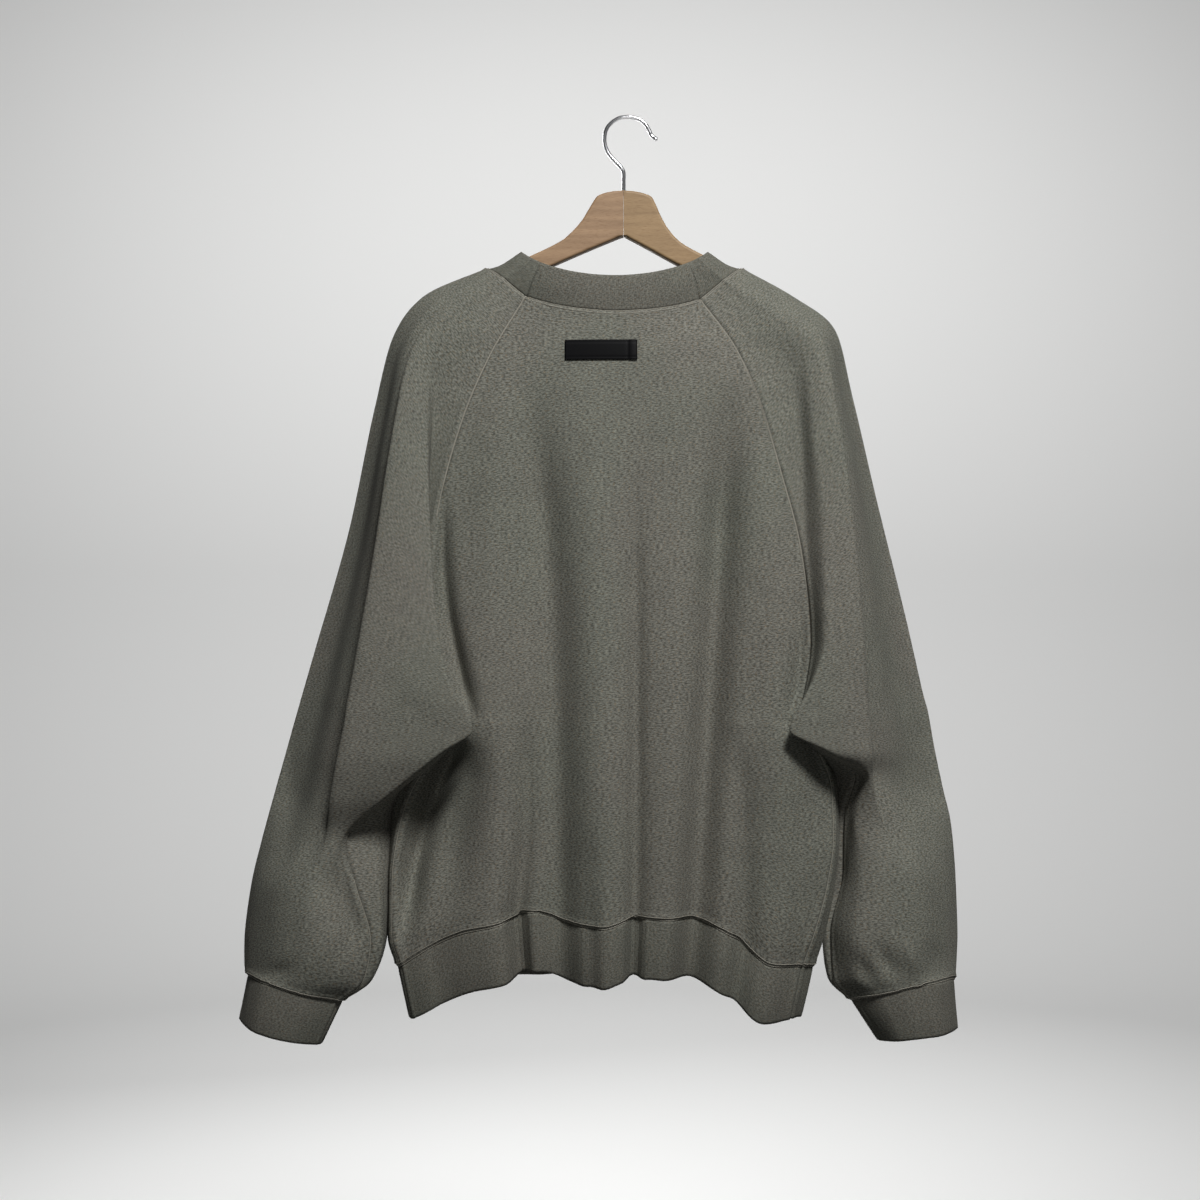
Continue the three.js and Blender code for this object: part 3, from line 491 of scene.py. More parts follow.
# Creases pressed into the finished form, each a soft trough (below zero) or ridge along a smooth
# path: x, z, depth and half width at each place of it.
CREASES_LEFT = [
    [[-290, -738, 0, 12], [-284, -762, -6, 13], [-276, -788, -6, 13], [-270, -812, 0, 12]],
    [[-300, -762, 0, 14], [-309, -790, 3, 14], [-320, -818, 0, 14]],
    [[-262, -798, 0, 12], [-276, -820, -4, 12], [-290, -842, 0, 12]],
    [[-322, -832, 0, 9], [-338, -844, -3, 9], [-356, -852, 0, 9]],
    [[-214, -552, 0, 16], [-190, -572, 2, 16], [-168, -588, 0, 14]],
    [[-344, -600, 0, 12], [-340, -660, -3, 13], [-338, -740, -2, 14], [-344, -790, 0, 14]],
]
CREASES_RIGHT = [
    [[240, -808, 0, 8], [252, -832, -4, 8], [262, -852, 0, 8]],
    [[264, -806, 0, 9], [276, -828, 3, 9], [288, -850, 0, 9]],
    [[296, -814, 0, 9], [305, -834, -3, 9], [313, -854, 0, 9]],
    [[222, -824, 0, 8], [232, -842, -4, 8], [242, -860, 0, 8]],
]
CREASE_STEPS = 6
# A crease is at its full depth on cloth that faces the viewer by one part in this many.
FACING_GAIN = 2.5
CREASE_FADE_POWER = 0.7
# At this scale a wave texture has about one band a unit, and its place is divided by the wale.
WALE_SCALE = 0.3183


def near_half(row, relief, back):
    """The first ten places of a sleeve section: seam, crease, inner ridge, flap, outer ridge, the four
    places beyond that ridge, and the edge. Those four blend from the round sleeve's to the fold's by
    the relief. The height runs evenly with x from the seam to the edge."""
    sx, sz, sy, cx, cy, ix, iy, ox, oy, ex, ez, ey = row[:12]
    inward = np.sign(sx - ex)
    ey = ey + back
    iy, oy = iy * FLAP_DEPTH, oy * FLAP_DEPTH
    bulge_x, bulge_y = (ix + ox) / 2, (iy + oy) / 2 - FLAP_BULGE
    beyond_x = ox + (ex - ox) * (ROUND_PLACES + relief * (FOLD_PLACES - ROUND_PLACES))
    beyond_x[0] += inward * UNDERCUT * relief
    fold_depths = FOLD_DEPTHS_LEFT if inward > 0 else FOLD_DEPTHS_RIGHT
    beyond_y = oy + (ey - oy) * ((1 - relief) * ROUND_DEPTHS + relief * fold_depths)
    xs = np.array([sx, cx, ix, bulge_x, ox, *beyond_x, ex])
    ys = np.array([sy, cy, iy, bulge_y, oy, *beyond_y, ey])
    zs = sz + (ez - sz) * (xs - sx) / (ex - sx)
    return np.stack([xs, ys, zs], axis=-1)


def far_half(row, back):
    """The last six places: round the edge, then over the far side to the front seam or, below the
    armpit, round the inner edge and back to the underarm seam."""
    sx, sz, sy = row[:3]
    ex, ez, ey = row[9:12]
    turn_x, turn_y = ex + np.sign(sx - ex) * EDGE_IN, ey + back + EDGE_OUT
    depth = row[-1] + back * FAR_SHARE
    nx, nz, ny = row[12:15]
    if len(row) == len(YOKE_LEFT[0]):
        rest = [ex + (nx - ex) * FAR_PLACES, depth + (ny - depth) * FAR_SINK, ez + (nz - ez) * FAR_PLACES]
        return np.vstack([[turn_x, turn_y, ez - EDGE_DROP], np.stack(rest, axis=-1)])
    wx, wy = row[15:17]
    far = [[ex + (nx - ex) * share, depth, ez + (nz - ez) * share] for share in FOREARM_FAR_PLACES]
    return np.array([[turn_x, turn_y, ez], *far, [nx, ny, nz], [wx, wy, (nz + sz) / 2], [sx, sy, sz]])


def section(row, relief=1.0, back=0.0):
    """The sixteen places of a whole sleeve section."""
    return np.vstack([near_half(row, relief, back), far_half(row, back)])


def arc(grid, axis):
    """The distance run along an axis of a grid of points, from its first point."""
    steps = np.linalg.norm(np.diff(grid, axis=axis), axis=-1)
    start = np.zeros_like(np.take(steps, [0], axis=axis))
    return np.concatenate([start, np.cumsum(steps, axis=axis)], axis=axis)


def outward(grid, closed=False, flip=False):
    """The unit normal of a grid: the cross of its slopes down and across."""
    down = np.gradient(grid, axis=0)
    if closed:
        across = np.roll(grid, -1, axis=1) - np.roll(grid, 1, axis=1)
    else:
        across = np.gradient(grid, axis=1)
    return unit(np.cross(down, across)) * (-1 if flip else 1)


def evened(grid, rounds):
    """A grid with its inner points moved halfway to the mean of their four neighbours, some times
    over. Its edges stay."""
    grid = grid.copy()
    for _ in range(rounds):
        mean = (grid[:-2, 1:-1] + grid[2:, 1:-1] + grid[1:-1, :-2] + grid[1:-1, 2:]) / 4
        grid[1:-1, 1:-1] += 0.5 * (mean - grid[1:-1, 1:-1])
    return grid


def creased(grid, normal, creases, facing, fade=0):
    """A grid with each crease added to its depth: the crease's own depth times a bell of the
    distance, seen from the front, to its smooth path. facing is -1 for the near side and 1 for the
    far side. Cloth that faces sideways takes less of it. Over the fade, a length by each sewn side,
    the creases run out."""
    side = np.clip(normal[..., 1] * facing * FACING_GAIN, 0, 1)
    if fade:
        run = arc(grid, 1)
        from_edge = np.minimum(run, run[:, -1:] - run)
        side = side * np.clip(from_edge / fade, 0, 1) ** CREASE_FADE_POWER
    total = np.zeros(grid.shape[:2])
    flat = grid[..., [0, 2]]
    for crease in creases:
        path = smooth(crease, np.linspace(0, 1, CREASE_STEPS * len(crease)))
        deepest = np.zeros_like(total)
        for start, end in zip(path[:-1], path[1:]):
            step = end - start
            share = np.clip(((flat - start[:2]) @ step[:2]) / (step[:2] @ step[:2]), 0, 1)
            away = np.linalg.norm(flat - start[:2] - share[..., None] * step[:2], axis=-1)
            value = (start[2] + share * step[2]) * bell(away, start[3] + share * step[3])
            deepest = np.where(np.abs(value) > np.abs(deepest), value, deepest)
        total += deepest * side
    return grid + total[..., None] * np.array([0, facing, 0])


def sewn_edges(run):
    """How far cloth stands out near its two edges, by the distance run across it: it dips into each
    seam and swells beside it."""
    total = 0
    for distance in (run, run[:, -1:] - run):
        total = total - SEAM_DIP * bell(distance, DIP_HALF_WIDTH)
        total = total + SEAM_SWELL * bell(distance - SWELL_PLACE, SWELL_HALF_WIDTH)
    return total


def sewn(grid, flip):
    """A piece with the relief of the seams on its four edges, and its normal."""
    relief = sewn_edges(arc(grid, 1)) + sewn_edges(arc(grid, 0).T).T
    grid = grid + outward(grid, flip=flip) * relief[..., None]
    return grid, outward(grid, flip=flip)


def places(count, edge=0.012):
    """Places from 0 to 1, evenly spaced but for a few closer ones by each end."""
    close = edge * np.array([0, 0.15, 0.32, 0.52, 0.76])
    return np.concatenate([close, np.linspace(edge, 1 - edge, count), 1 - close[::-1]])


def sleeve_grid(yoke, forearm, across):
    """A sleeve's points: its sections joined smoothly from the neck to the cuff. By its sewn edges
    the two runs, down the yoke and down the forearm, meet in a corner at the armpit, and within a
    share of the way across they blend into one whole run."""
    upper = [section(*row) for row in zip(yoke, YOKE_RELIEF, YOKE_BACK)]
    lower = [section(*row) for row in zip(forearm, FOREARM_RELIEF, FOREARM_BACK)]
    rows = np.stack([smooth(row, across) for row in upper + lower])
    last = len(upper) - 1
    down = np.linspace(0, 1, YOKE_STEPS), np.linspace(0, 1, FOREARM_STEPS)[1:]
    cornered = np.concatenate([smooth(rows[:last + 1], down[0]), smooth(rows[last:], down[1])])
    share = last / (len(rows) - 1)
    whole = smooth(rows, np.concatenate([down[0] * share, share + down[1] * (1 - share)]))
    weight = np.clip(np.minimum(across, 1 - across) / CORNER_FADE, 0, 1)[None, :, None]
    return cornered + (whole - cornered) * weight


def cloth_uv(grid, column, closed=False):
    """The cloth's own flat coordinates in metres: distance across from one column, and distance down
    along that column."""
    if closed:
        grid = np.concatenate([grid, grid[:, :1]], axis=1)
    across = arc(grid, 1)
    across = across - across[:, column:column + 1]
    down = arc(grid, 0)[:, column:column + 1] + 0 * across
    return np.stack([across, down], axis=-1) * MM


def cloth(name, grid, uv, material, node, thick, closed=False, flip=False):
    """A piece of cloth: its middle surface with a Solidify wall, its material, and its place in the
    part."""
    piece = surface_mesh(name, grid * MM, uv, closed, flip)
    wall = piece.modifiers.new("wall", "SOLIDIFY")
    wall.thickness = thick * MM
    wall.offset = 0
    wall.use_even_offset = False
    piece.data.materials.append(material)
    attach(piece, "root")
    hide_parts(node)
    return piece


def knit_material(name, dark, light, warm, across, down, wale, bump_strength):
    """Heather jersey: flecks of darker and lighter fibre drawn out across the knit, odd warm fibres, a
    slow unevenness and a broad drift of hue, over fine wales that run down the cloth."""
    material, shader = plain_material(name, light, 0.92)
    place = add_node(material, "UVMap", {}, uv_map="cloth").outputs["UV"]

    def knit_noise(across, down, detail, roughness=0.55):
        return noise(material, place, (across, down, 1), "2D", Detail=detail, Roughness=roughness)

    middle = tuple((a + b) / 2 for a, b in zip(dark, light))
    flecks = knit_noise(across, down, 3, 0.65)
    colour = colour_run(material, flecks, [(0.33, dark), (0.5, middle), (0.67, light)])
    for value, stops in (
        (knit_noise(across * 1.3, down * 0.7, 2), [(0.58, (1, 1, 1, 1)), (0.68, warm)]),
        (knit_noise(34, 52, 4), [(0.3, (0.9, 0.9, 0.91, 1)), (0.7, (1, 1, 1, 1))]),
        (knit_noise(6, 4, 2), [(0.38, (1, 0.978, 0.955, 1)), (0.6, (0.972, 0.99, 0.95, 1))]),
    ):
        colour = multiplied(material, colour, colour_run(material, value, stops))
    set_inputs(material, shader, {
        "Base Color": colour, "Specular IOR Level": 0.08,
        "Sheen Weight": 0.03, "Sheen Roughness": 0.55, "Sheen Tint": (0.85, 0.84, 0.8, 1),
    })

    wale_place = add_node(material, "Mapping", {"Vector": place, "Scale": (1 / wale, 1 / wale, 1)})
    wales = add_node(
        material, "TexWave",
        {"Vector": wale_place.outputs["Vector"], "Scale": WALE_SCALE, "Distortion": 0.8, "Detail": 1},
        wave_type="BANDS", bands_direction="X",
    )
    inputs = {0: wales.outputs["Fac"], 1: knit_noise(1500, 1500, 3)}
    height = add_node(material, "Math", inputs, operation="ADD")
    add_bump(material, shader, height.outputs["Value"], bump_strength, 0.0005)
    return material


fleece = knit_material(
    "heather_fleece",
    dark=(0.082, 0.082, 0.072, 1),
    light=(0.265, 0.265, 0.232, 1),
    warm=(1.0, 0.86, 0.74, 1),
    across=300,
    down=900,
    wale=0.0011,
    bump_strength=0.08,
)

EDGE_PLACE = 9 / 15
across_sleeve = places(15 * STEPS_ACROSS)
edge_column = int(np.argmin(np.abs(across_sleeve - EDGE_PLACE)))
below_armpit = np.clip((np.arange(YOKE_STEPS + FOREARM_STEPS - 1) - YOKE_STEPS) / FOREARM_STEPS, 0, 1)
arched = below_armpit[:, None] ** ARCH_POWER * np.sin(np.pi * np.clip(across_sleeve / EDGE_PLACE, 0, 1))
sleeves = {}
for side, yoke, forearm, creases, flip, flat, area in (
    ("left", YOKE_LEFT, FOREARM_LEFT, CREASES_LEFT, True, (0.52, 0.78), 0.236),
    ("right", YOKE_RIGHT, FOREARM_RIGHT, CREASES_RIGHT, False, (0.5, 0.78), 0.215),
):
    grid = sleeve_grid(yoke, forearm, across_sleeve)
    grid[..., 2] += ARCH[side] * arched
    grid = evened(grid, EVEN_ROUNDS)
    normal = outward(grid, flip=flip)
    grid = creased(grid, normal, creases, -1)
    grid = creased(grid, normal, creases[1::2], 1)
    grid, normal = sewn(grid, flip)
    sleeves[side] = (grid, normal)
    uv = cloth_uv(grid, edge_column)
    piece = cloth(
        f"sleeve_cloth_{side}", grid, uv, fleece, f"sleeve_{side}", FLEECE_THICK, flip=flip
    )


# The body: a back and a front panel of the same fleece, joined at the sides below the armpits. The
# back hangs in long soft folds, and the front wraps a little round the sides. Each side has a row for
# each height: side seam x z y, then the outline x z y.
SIDE_LEFT = np.array([
    [-184, -630, -24, -195, -634, -2],
    [-211, -667, -20, -230, -670, 2],
    [-226, -712, -18, -235, -715, 4],
    [-232, -761, -18, -238, -766, 4],
    [-232, -811, -18, -238, -816, 4],
    [-223, -843, -18, -229, -847, 3],
], float)
SIDE_RIGHT = np.array([
    [187, -629, -34, 196, -632, -10],
    [201, -666, -32, 210, -669, -8],
    [203, -714, -30, 211, -717, -6],
    [197, -760, -30, 207, -764, -5],
    [184, -809, -30, 197, -815, -4],
    [173, -841, -26, 187, -846, -4],
], float)
# The back's depth at its middle and how squarely it swells to it, and the front's depth.
BACK_MIDDLE_Y = [-42, -47, -49, -50, -51.5, -53.4, -54.2, -54.5, -54.8, -54.5, -53.8, -52, -50.5, -49]
SWELL_POWER = [2, 2, 2, 2, 3, 4, 8, 26, 12, 6, 4, 4, 4, 4]
FAR_DEPTH = [30, 31, 32, 32, 32, 31, 30, 29, 28, 27, 26, 25, 24, 22]
# Long folds: height of the top, x at top, middle and foot, depth at top and foot, half width.
BACK_FOLDS = [
    [-219, -122, -130, -128, 5, 5, 22],
    [-248, -96, -72, -66, -12, -20, 19],
    [-300, -100, -104, -100, -3, -6, 30],
    [-248, -37, -27, -21, 5, 12, 24],
    [-340, 7, 9, 8, -6, -16, 7],
    [-365, 39, 43, 43, 2, 7, 20],
    [-268, 100, 84, 66, -25, -25, 17],
    [-600, 106, 112, 114, -5, -11, 11],
    [-248, 138, 144, 150, 5, 6, 20],
    [-580, -98, -98, -108, -5, -20, 9],
    [-600, -150, -165, -185, -3, -5, 20],
    [-690, -38, -35, -34, 0, -5, 8],
]
FRONT_FOLDS = [
    [-280, -92, -108, -124, 1, 8, 24],
    [-300, -60, -64, -70, -2, -9, 16],
    [-290, -20, -24, -16, 2, 9, 24],
    [-330, 28, 26, 30, -1, -8, 14],
    [-300, 64, 72, 78, 1, 8, 22],
    [-360, 104, 118, 120, -1, -8, 15],
]
FOLD_FOOT = -800
FOLD_FADE_IN = 0.25
FOLD_EDGE = 14
# How far the hem's seam rises and the neck's dips, at even steps from left to right.
BACK_HEM_RISE = [0, 22, 38, 46, 57, 46, 44, 52, 51, 46, 30, 4, 0]
FRONT_HEM_RISE = [0, 0, 3, 20, 36, 40, 46, 48, 42, 24, 3, 0, 0]
BACK_NECK_DIP = [0, 9, 14, 16, 14, 9, 0]
FRONT_NECK_DIP = [0, 14, 24, 28, 24, 14, 0]
NECK_DIP_ROWS = 2.5
HEM_RISE_POWER = 1.6
ARMPIT_ROW = 7
HEM_ROW = 13
LOW_STEPS = 72
BODY_COLUMNS = 105
BODY_ROUNDS = 4
# The front's places between its two outlines, and how far each has swollen to the front's depth.
FRONT_SWELL = ((0.1, 0.86), (0.25, 0.98), (0.5, 1), (0.75, 0.98), (0.9, 0.8))
FRONT_OUTLINES = (0.05, 0.95)
FRONT_WRAP = 0.14
SEAM_FADE = 12
BACK_CREASES = [
    [[-164, -620, -6, 9], [-175, -640, -36, 12], [-190, -672, -40, 14], [-203, -712, -34, 14],
     [-212, -760, -28, 13], [-216, -805, -8, 11], [-216, -830, 0, 10]],
    [[-150, -618, 0, 18], [-160, -660, -16, 26], [-174, -710, -18, 30], [-186, -780, 0, 30]],
    [[-189, -312, 0, 8], [-188, -350, -5, 8], [-183, -404, -10, 9], [-177, -481, -16, 9.5],
     [-168, -530, -18, 9.5], [-158, -568, -14, 9], [-150, -590, -4, 8]],
    [[164, -470, 0, 10], [171, -520, -6, 11], [170, -556, -9, 11], [158, -592, 0, 9]],
    [[182, -622, 0, 9], [192, -642, -8, 10], [200, -660, 0, 9]],
    [[186, -680, 0, 12], [190, -725, 3, 14], [188, -780, 0, 12]],
]


def body_run(row, values):
    """A value at a row of the body: smooth from the neck to the armpit, then from it to the hem."""
    upper = smooth(values[: ARMPIT_ROW + 1], row / ARMPIT_ROW)
    lower = smooth(values[ARMPIT_ROW:], (row - ARMPIT_ROW) / (HEM_ROW - ARMPIT_ROW))
    above = (row <= ARMPIT_ROW).reshape(row.shape + (1,) * (upper.ndim - 1))
    return np.where(above, upper, lower)


def fold_depth(folds, x, z):
    """The sum of the long folds at each point: a bell across each fold's line, which deepens towards
    its foot."""
    total = np.zeros_like(x)
    for top_z, top_x, middle_x, foot_x, top_depth, foot_depth, half_width in folds:
        share = (z - top_z) / (FOLD_FOOT - top_z)
        along = np.clip(share, 0, 1.05)
        centre = smooth([top_x, middle_x, foot_x], along)
        depth = (top_depth + (foot_depth - top_depth) * along) * np.minimum(1, along / FOLD_FADE_IN)
        total += depth * bell(x - centre, half_width) * (share > 0)
    return total


def seam_points(yoke, place, side):
    """A panel's sewn side: the sleeve sections' first or last places, then the side seam."""
    upper = np.array([section(row)[place] for row in yoke])
    return np.vstack([upper, side[:, [0, 2, 1]]])


def neck_share(row):
    """The weight of the neckline's dip, from 1 at the neck to nothing a little below."""
    return np.maximum(0, 1 - row / NECK_DIP_ROWS) ** 2


def low_share(row):
    """The place of a row between the first one below the armpit, 0, and the hem, 1."""
    return (row - ARMPIT_ROW - 1) / (HEM_ROW - ARMPIT_ROW - 1)


def risen(row, across, hem_rise, neck_dip):
    """How far a place is raised: the hem's rise, which fades out up to the armpit, less the neck's
    dip, which fades out a little below the neck."""
    hem = np.maximum(0, low_share(row)) ** HEM_RISE_POWER * smooth(hem_rise, across)
    return hem - neck_share(row) * smooth(neck_dip, across)


def back_grid(row, across):
    """The back panel: between its two seams, brought to its middle's depth by one minus a power of
    the place across, with its folds, the neckline's dip and the hem's rise."""
    left = body_run(row, seam_points(YOKE_LEFT, 0, SIDE_LEFT))[:, None]
    right = body_run(row, seam_points(YOKE_RIGHT, 0, SIDE_RIGHT))[:, None]
    t = across[None, :, None]
    grid = left + (right - left) * t
    row = row[:, None]
    across = across[None]
    grid[..., 2] += risen(row, across, BACK_HEM_RISE, BACK_NECK_DIP)
    power = smooth(SWELL_POWER, row / HEM_ROW)
    swell = 1 - np.abs(2 * across - 1) ** power
    inside = np.minimum(1, FOLD_EDGE * across * (1 - across))
    folds = fold_depth(BACK_FOLDS, grid[..., 0], grid[..., 2])
    middle = body_run(row[:, 0], BACK_MIDDLE_Y)[:, None]
    grid[..., 1] += (middle - grid[..., 1]) * swell - folds * inside
    return grid


def front_grid(row, across):
    """The front panel through nine places: from one seam round the body's outline, over the far side,
    round the other outline and to the other seam. Above the armpit it is the far side alone."""
    left = body_run(row, seam_points(YOKE_LEFT, -1, SIDE_LEFT))
    right = body_run(row, seam_points(YOKE_RIGHT, -1, SIDE_RIGHT))
    depth = body_run(row, FAR_DEPTH)
    wrap = np.clip(row - ARMPIT_ROW, 0, 1)[:, None]
    outlines = []
    for t, side in zip(FRONT_OUTLINES, (SIDE_LEFT, SIDE_RIGHT)):
        spot = left + (right - left) * t
        outlines.append(spot + (smooth(side[:, [3, 5, 4]], low_share(row)) - spot) * wrap)
    spots = [left, outlines[0]]
    for t, share in FRONT_SWELL:
        spot = left + (right - left) * t
        spot[:, 1] += (depth - spot[:, 1]) * share
        spots.append(spot)
    spots += [outlines[1], right]
    grid = smooth(np.array(spots), across).transpose(1, 0, 2)
    row = row[:, None]
    across = across[None]
    from_wraps = np.maximum(0, across - FRONT_WRAP) * np.maximum(0, 1 - FRONT_WRAP - across)
    inside = np.minimum(1, FOLD_EDGE * from_wraps)
    grid[..., 1] += fold_depth(FRONT_FOLDS, grid[..., 0], grid[..., 2]) * inside
    grid[..., 2] += risen(row, across, FRONT_HEM_RISE, FRONT_NECK_DIP)
    return grid


body_rows = np.concatenate([
    np.linspace(0, ARMPIT_ROW, YOKE_STEPS),
    np.linspace(ARMPIT_ROW, HEM_ROW, LOW_STEPS)[1:],
])
across_body = places(BODY_COLUMNS)
panels = {}
for name, make, creases, flip, flat, area in (
    ("back", back_grid, BACK_CREASES, False, (0.46, 0.66), 0.222),
    ("front", front_grid, [], True, (0.48, 0.62), 0.2),
):
    grid = evened(make(body_rows, across_body), BODY_ROUNDS)
    grid = creased(grid, outward(grid, flip=flip), creases, -1, SEAM_FADE)
    grid, normal = sewn(grid, flip)
    panels[name] = (grid, normal)
    uv = cloth_uv(grid, len(across_body) // 2)
    piece = cloth(f"{name}_cloth", grid, uv, fleece, f"{name}_panel", FLEECE_THICK, flip=flip)


# The collar: one strip of fine rib, doubled, joined into a ring at the left of the back and sewn on
# round the neck.
RIB_THICK = 2.6
RIB_PITCH = 2.0
RIB_HEIGHT = 0.22
RIB_FADE_ROWS = 2
# The free edge: an ellipse that sinks from its sides to its middle on the near and the far side, and
# does so the nearer to the middle the greater the power.
COLLAR_X = -11.5
COLLAR_HALF_WIDTH = 92.5
COLLAR_NEAR_Y = -39
COLLAR_FAR_Y = 27
COLLAR_SIDE_Z = -134
COLLAR_NEAR_Z = -165
COLLAR_FAR_Z = -210
COLLAR_NEAR_POWER = 1.5
COLLAR_FAR_POWER = 2.3
# A place on the neck's seam has its angle on an ellipse of this half width and these depths.
NECK_HALF_WIDTH = 125
NECK_NEAR_DEPTH = 41
NECK_FAR_DEPTH = 30
NECK_POINTS = 1200
RING_STEP = 0.55
# How often the neck's ring is averaged with its neighbours before the band is laid on it. The band
# comes back to the true seam by a power of the place down it.
RING_ROUNDS = 900
RETURN_POWER = 4
COLLAR_ROWS = 16
COLLAR_BOW = 2
# A band bows out less where it lies within this distance of the middle plane, at its sides.
BOW_FADE = 6
JOINT_DEPTH = 1.5
JOINT_HALF_WIDTH = 1.3

rib = knit_material(
    "heather_rib",
    dark=(0.084, 0.084, 0.073, 1),
    light=(0.205, 0.204, 0.177, 1),
    warm=(1.0, 0.86, 0.76, 1),
    across=420,
    down=760,
    wale=0.0015,
    bump_strength=0.15,
)


def points_at(points, run, spots):
    """Points looked up by the distance run along them."""
    return np.stack([np.interp(spots, run, points[:, axis]) for axis in range(3)], axis=-1)


def ring_points(ring, count):
    """A closed ring of points, spaced evenly along itself."""
    closed = np.concatenate([ring, ring[:1]])
    run = arc(closed, 0)
    return points_at(closed, run, np.linspace(0, run[-1], count, endpoint=False))


def band_grid(seam, free, rows, bow):
    """A band from its free edge to its seam: straight between the two rings, bowed out by a sine."""
    t = np.linspace(0, 1, rows)[:, None, None]
    grid = free + (seam - free) * t
    grid[..., 1] += bow * np.clip(grid[..., 1] / BOW_FADE, -1, 1) * np.sin(np.pi * t[..., 0])
    return grid


def rib_relief(grid):
    """How far fine ribs stand out: a cosine of the place round a band, level at its two edges."""
    columns = grid.shape[1]
    length = arc(np.concatenate([grid, grid[:, :1]], axis=1), 1)[:, -1].mean()
    wave = 0.5 + 0.5 * np.cos(2 * np.pi * np.round(length / RIB_PITCH) * np.arange(columns) / columns)
    rows = np.arange(len(grid))
    level = np.clip(np.minimum(rows, rows[::-1]) / RIB_FADE_ROWS, 0, 1)
    return RIB_HEIGHT * level[:, None] * wave


def rib_band(name, node, grid, groove=0.0, flip=False):
    """A closed band of rib, with its ribs raised and a groove sunk along its normal."""
    normal = outward(grid, closed=True, flip=flip)
    grid = grid + normal * (rib_relief(grid) - groove)[..., None]
    uv = cloth_uv(grid, 0, closed=True)
    return cloth(name, grid, uv, rib, node, RIB_THICK, closed=True, flip=flip)


back_row, front_row = panels["back"][0][0], panels["front"][0][0]
left_row, right_row = sleeves["left"][0][0], sleeves["right"][0][0]
neck_ring = np.concatenate([back_row, right_row[1:], front_row[::-1][1:], left_row[::-1][1:-1]])
neck_ring = ring_points(neck_ring, NECK_POINTS)
neck_depth = np.where(neck_ring[:, 1] < 0, NECK_NEAR_DEPTH, NECK_FAR_DEPTH)
angle = np.arctan2(neck_ring[:, 1] / neck_depth, (neck_ring[:, 0] - COLLAR_X) / NECK_HALF_WIDTH)
near = np.sin(angle) < 0
to_middle = np.abs(np.sin(angle))
middle_y = np.where(near, COLLAR_NEAR_Y, COLLAR_FAR_Y)
middle_z = np.where(near, COLLAR_NEAR_Z, COLLAR_FAR_Z)
power = np.where(near, COLLAR_NEAR_POWER, COLLAR_FAR_POWER)
collar_free = np.stack([
    COLLAR_X + COLLAR_HALF_WIDTH * np.cos(angle),
    middle_y * to_middle,
    COLLAR_SIDE_Z + (middle_z - COLLAR_SIDE_Z) * to_middle ** power,
], axis=-1)
soft_ring = neck_ring
for _ in range(RING_ROUNDS):
    soft_ring = (np.roll(soft_ring, 1, axis=0) + np.roll(soft_ring, -1, axis=0) + 2 * soft_ring) / 4
collar_grid = band_grid(soft_ring, collar_free, COLLAR_ROWS, COLLAR_BOW)
to_seam = np.linspace(0, 1, COLLAR_ROWS)[:, None, None] ** RETURN_POWER
collar_grid = collar_grid + (neck_ring - soft_ring) * to_seam
columns = np.arange(NECK_POINTS)
from_joint = np.minimum(columns, NECK_POINTS - columns) * RING_STEP
joint = JOINT_DEPTH * bell(from_joint, JOINT_HALF_WIDTH)
collar = rib_band("collar_rib", "collar", collar_grid, groove=joint)


# The band at the hem: the same rib in one ring, drawn in a little towards its lower edge, whose
# corners sit higher.
HEM_WIDTH = 58
HEM_MIDDLE_X = -25
HEM_HALF_WIDTH = 205
HEM_SQUEEZE = 0.945
HEM_DEPTH_SQUEEZE = 0.96
HEM_CORNER_LIFT = 8
HEM_CORNER_POWER = 8
HEM_POINTS = 1400
HEM_BOW = 2
BAND_ROWS = 20

hem_ring = np.concatenate([panels["back"][0][-1], panels["front"][0][-1][::-1][1:-1]])
hem_ring = ring_points(hem_ring, HEM_POINTS)
from_middle = hem_ring[:, 0] - HEM_MIDDLE_X
corner = np.minimum(1, np.abs(from_middle) / HEM_HALF_WIDTH) ** HEM_CORNER_POWER
hem_free = np.stack([
    HEM_MIDDLE_X + from_middle * HEM_SQUEEZE,
    hem_ring[:, 1] * HEM_DEPTH_SQUEEZE,
    hem_ring[:, 2] - HEM_WIDTH + HEM_CORNER_LIFT * corner,
], axis=-1)
hem = rib_band("hem_rib", "hem_band", band_grid(hem_ring, hem_free, BAND_ROWS, HEM_BOW)[::-1])


# The cuffs: two more rings of rib, narrower than the sleeves' ends. Each free edge runs between two
# ends, x and z, and rises at its middle.
CUFF_DRAW = 0.85
CUFF_POINTS = 340
CUFF_BOW = 1.5

for side, (left_x, left_z), (right_x, right_z), rise, flip in (
    ("left", (-388, -902), (-304, -922), 1, True),
    ("right", (251, -918), (333, -911), 4, False),
):
    ring = ring_points(sleeves[side][0][-1][:-1], CUFF_POINTS)
    low, high = ring[:, 0].min(), ring[:, 0].max()
    share = (ring[:, 0] - low) / (high - low)
    free = np.stack([
        left_x + (right_x - left_x) * share,
        ring[:, 1] * CUFF_DRAW,
        left_z + (right_z - left_z) * share + rise * np.sin(np.pi * share),
    ], axis=-1)
    grid = band_grid(ring, free, BAND_ROWS, CUFF_BOW)[::-1]
    piece = rib_band(f"cuff_rib_{side}", f"cuff_{side}", grid, flip=flip)


# The tab: a strip of black woven tape with its ends folded under, sewn flat on the back below the
# collar. It is bare.
TAB_X = -25
TAB_Z = -238.5
TAB_WIDTH = 70
TAB_HEIGHT = 19.5
TAB_THICK = 0.9
TAB_ROWS = 17
TAB_COLUMNS = 57
# The gap to the fleece, and how much wider it is between the tape's stitched lines.
TAB_GAP = 0.3
TAB_LOFT = 0.35
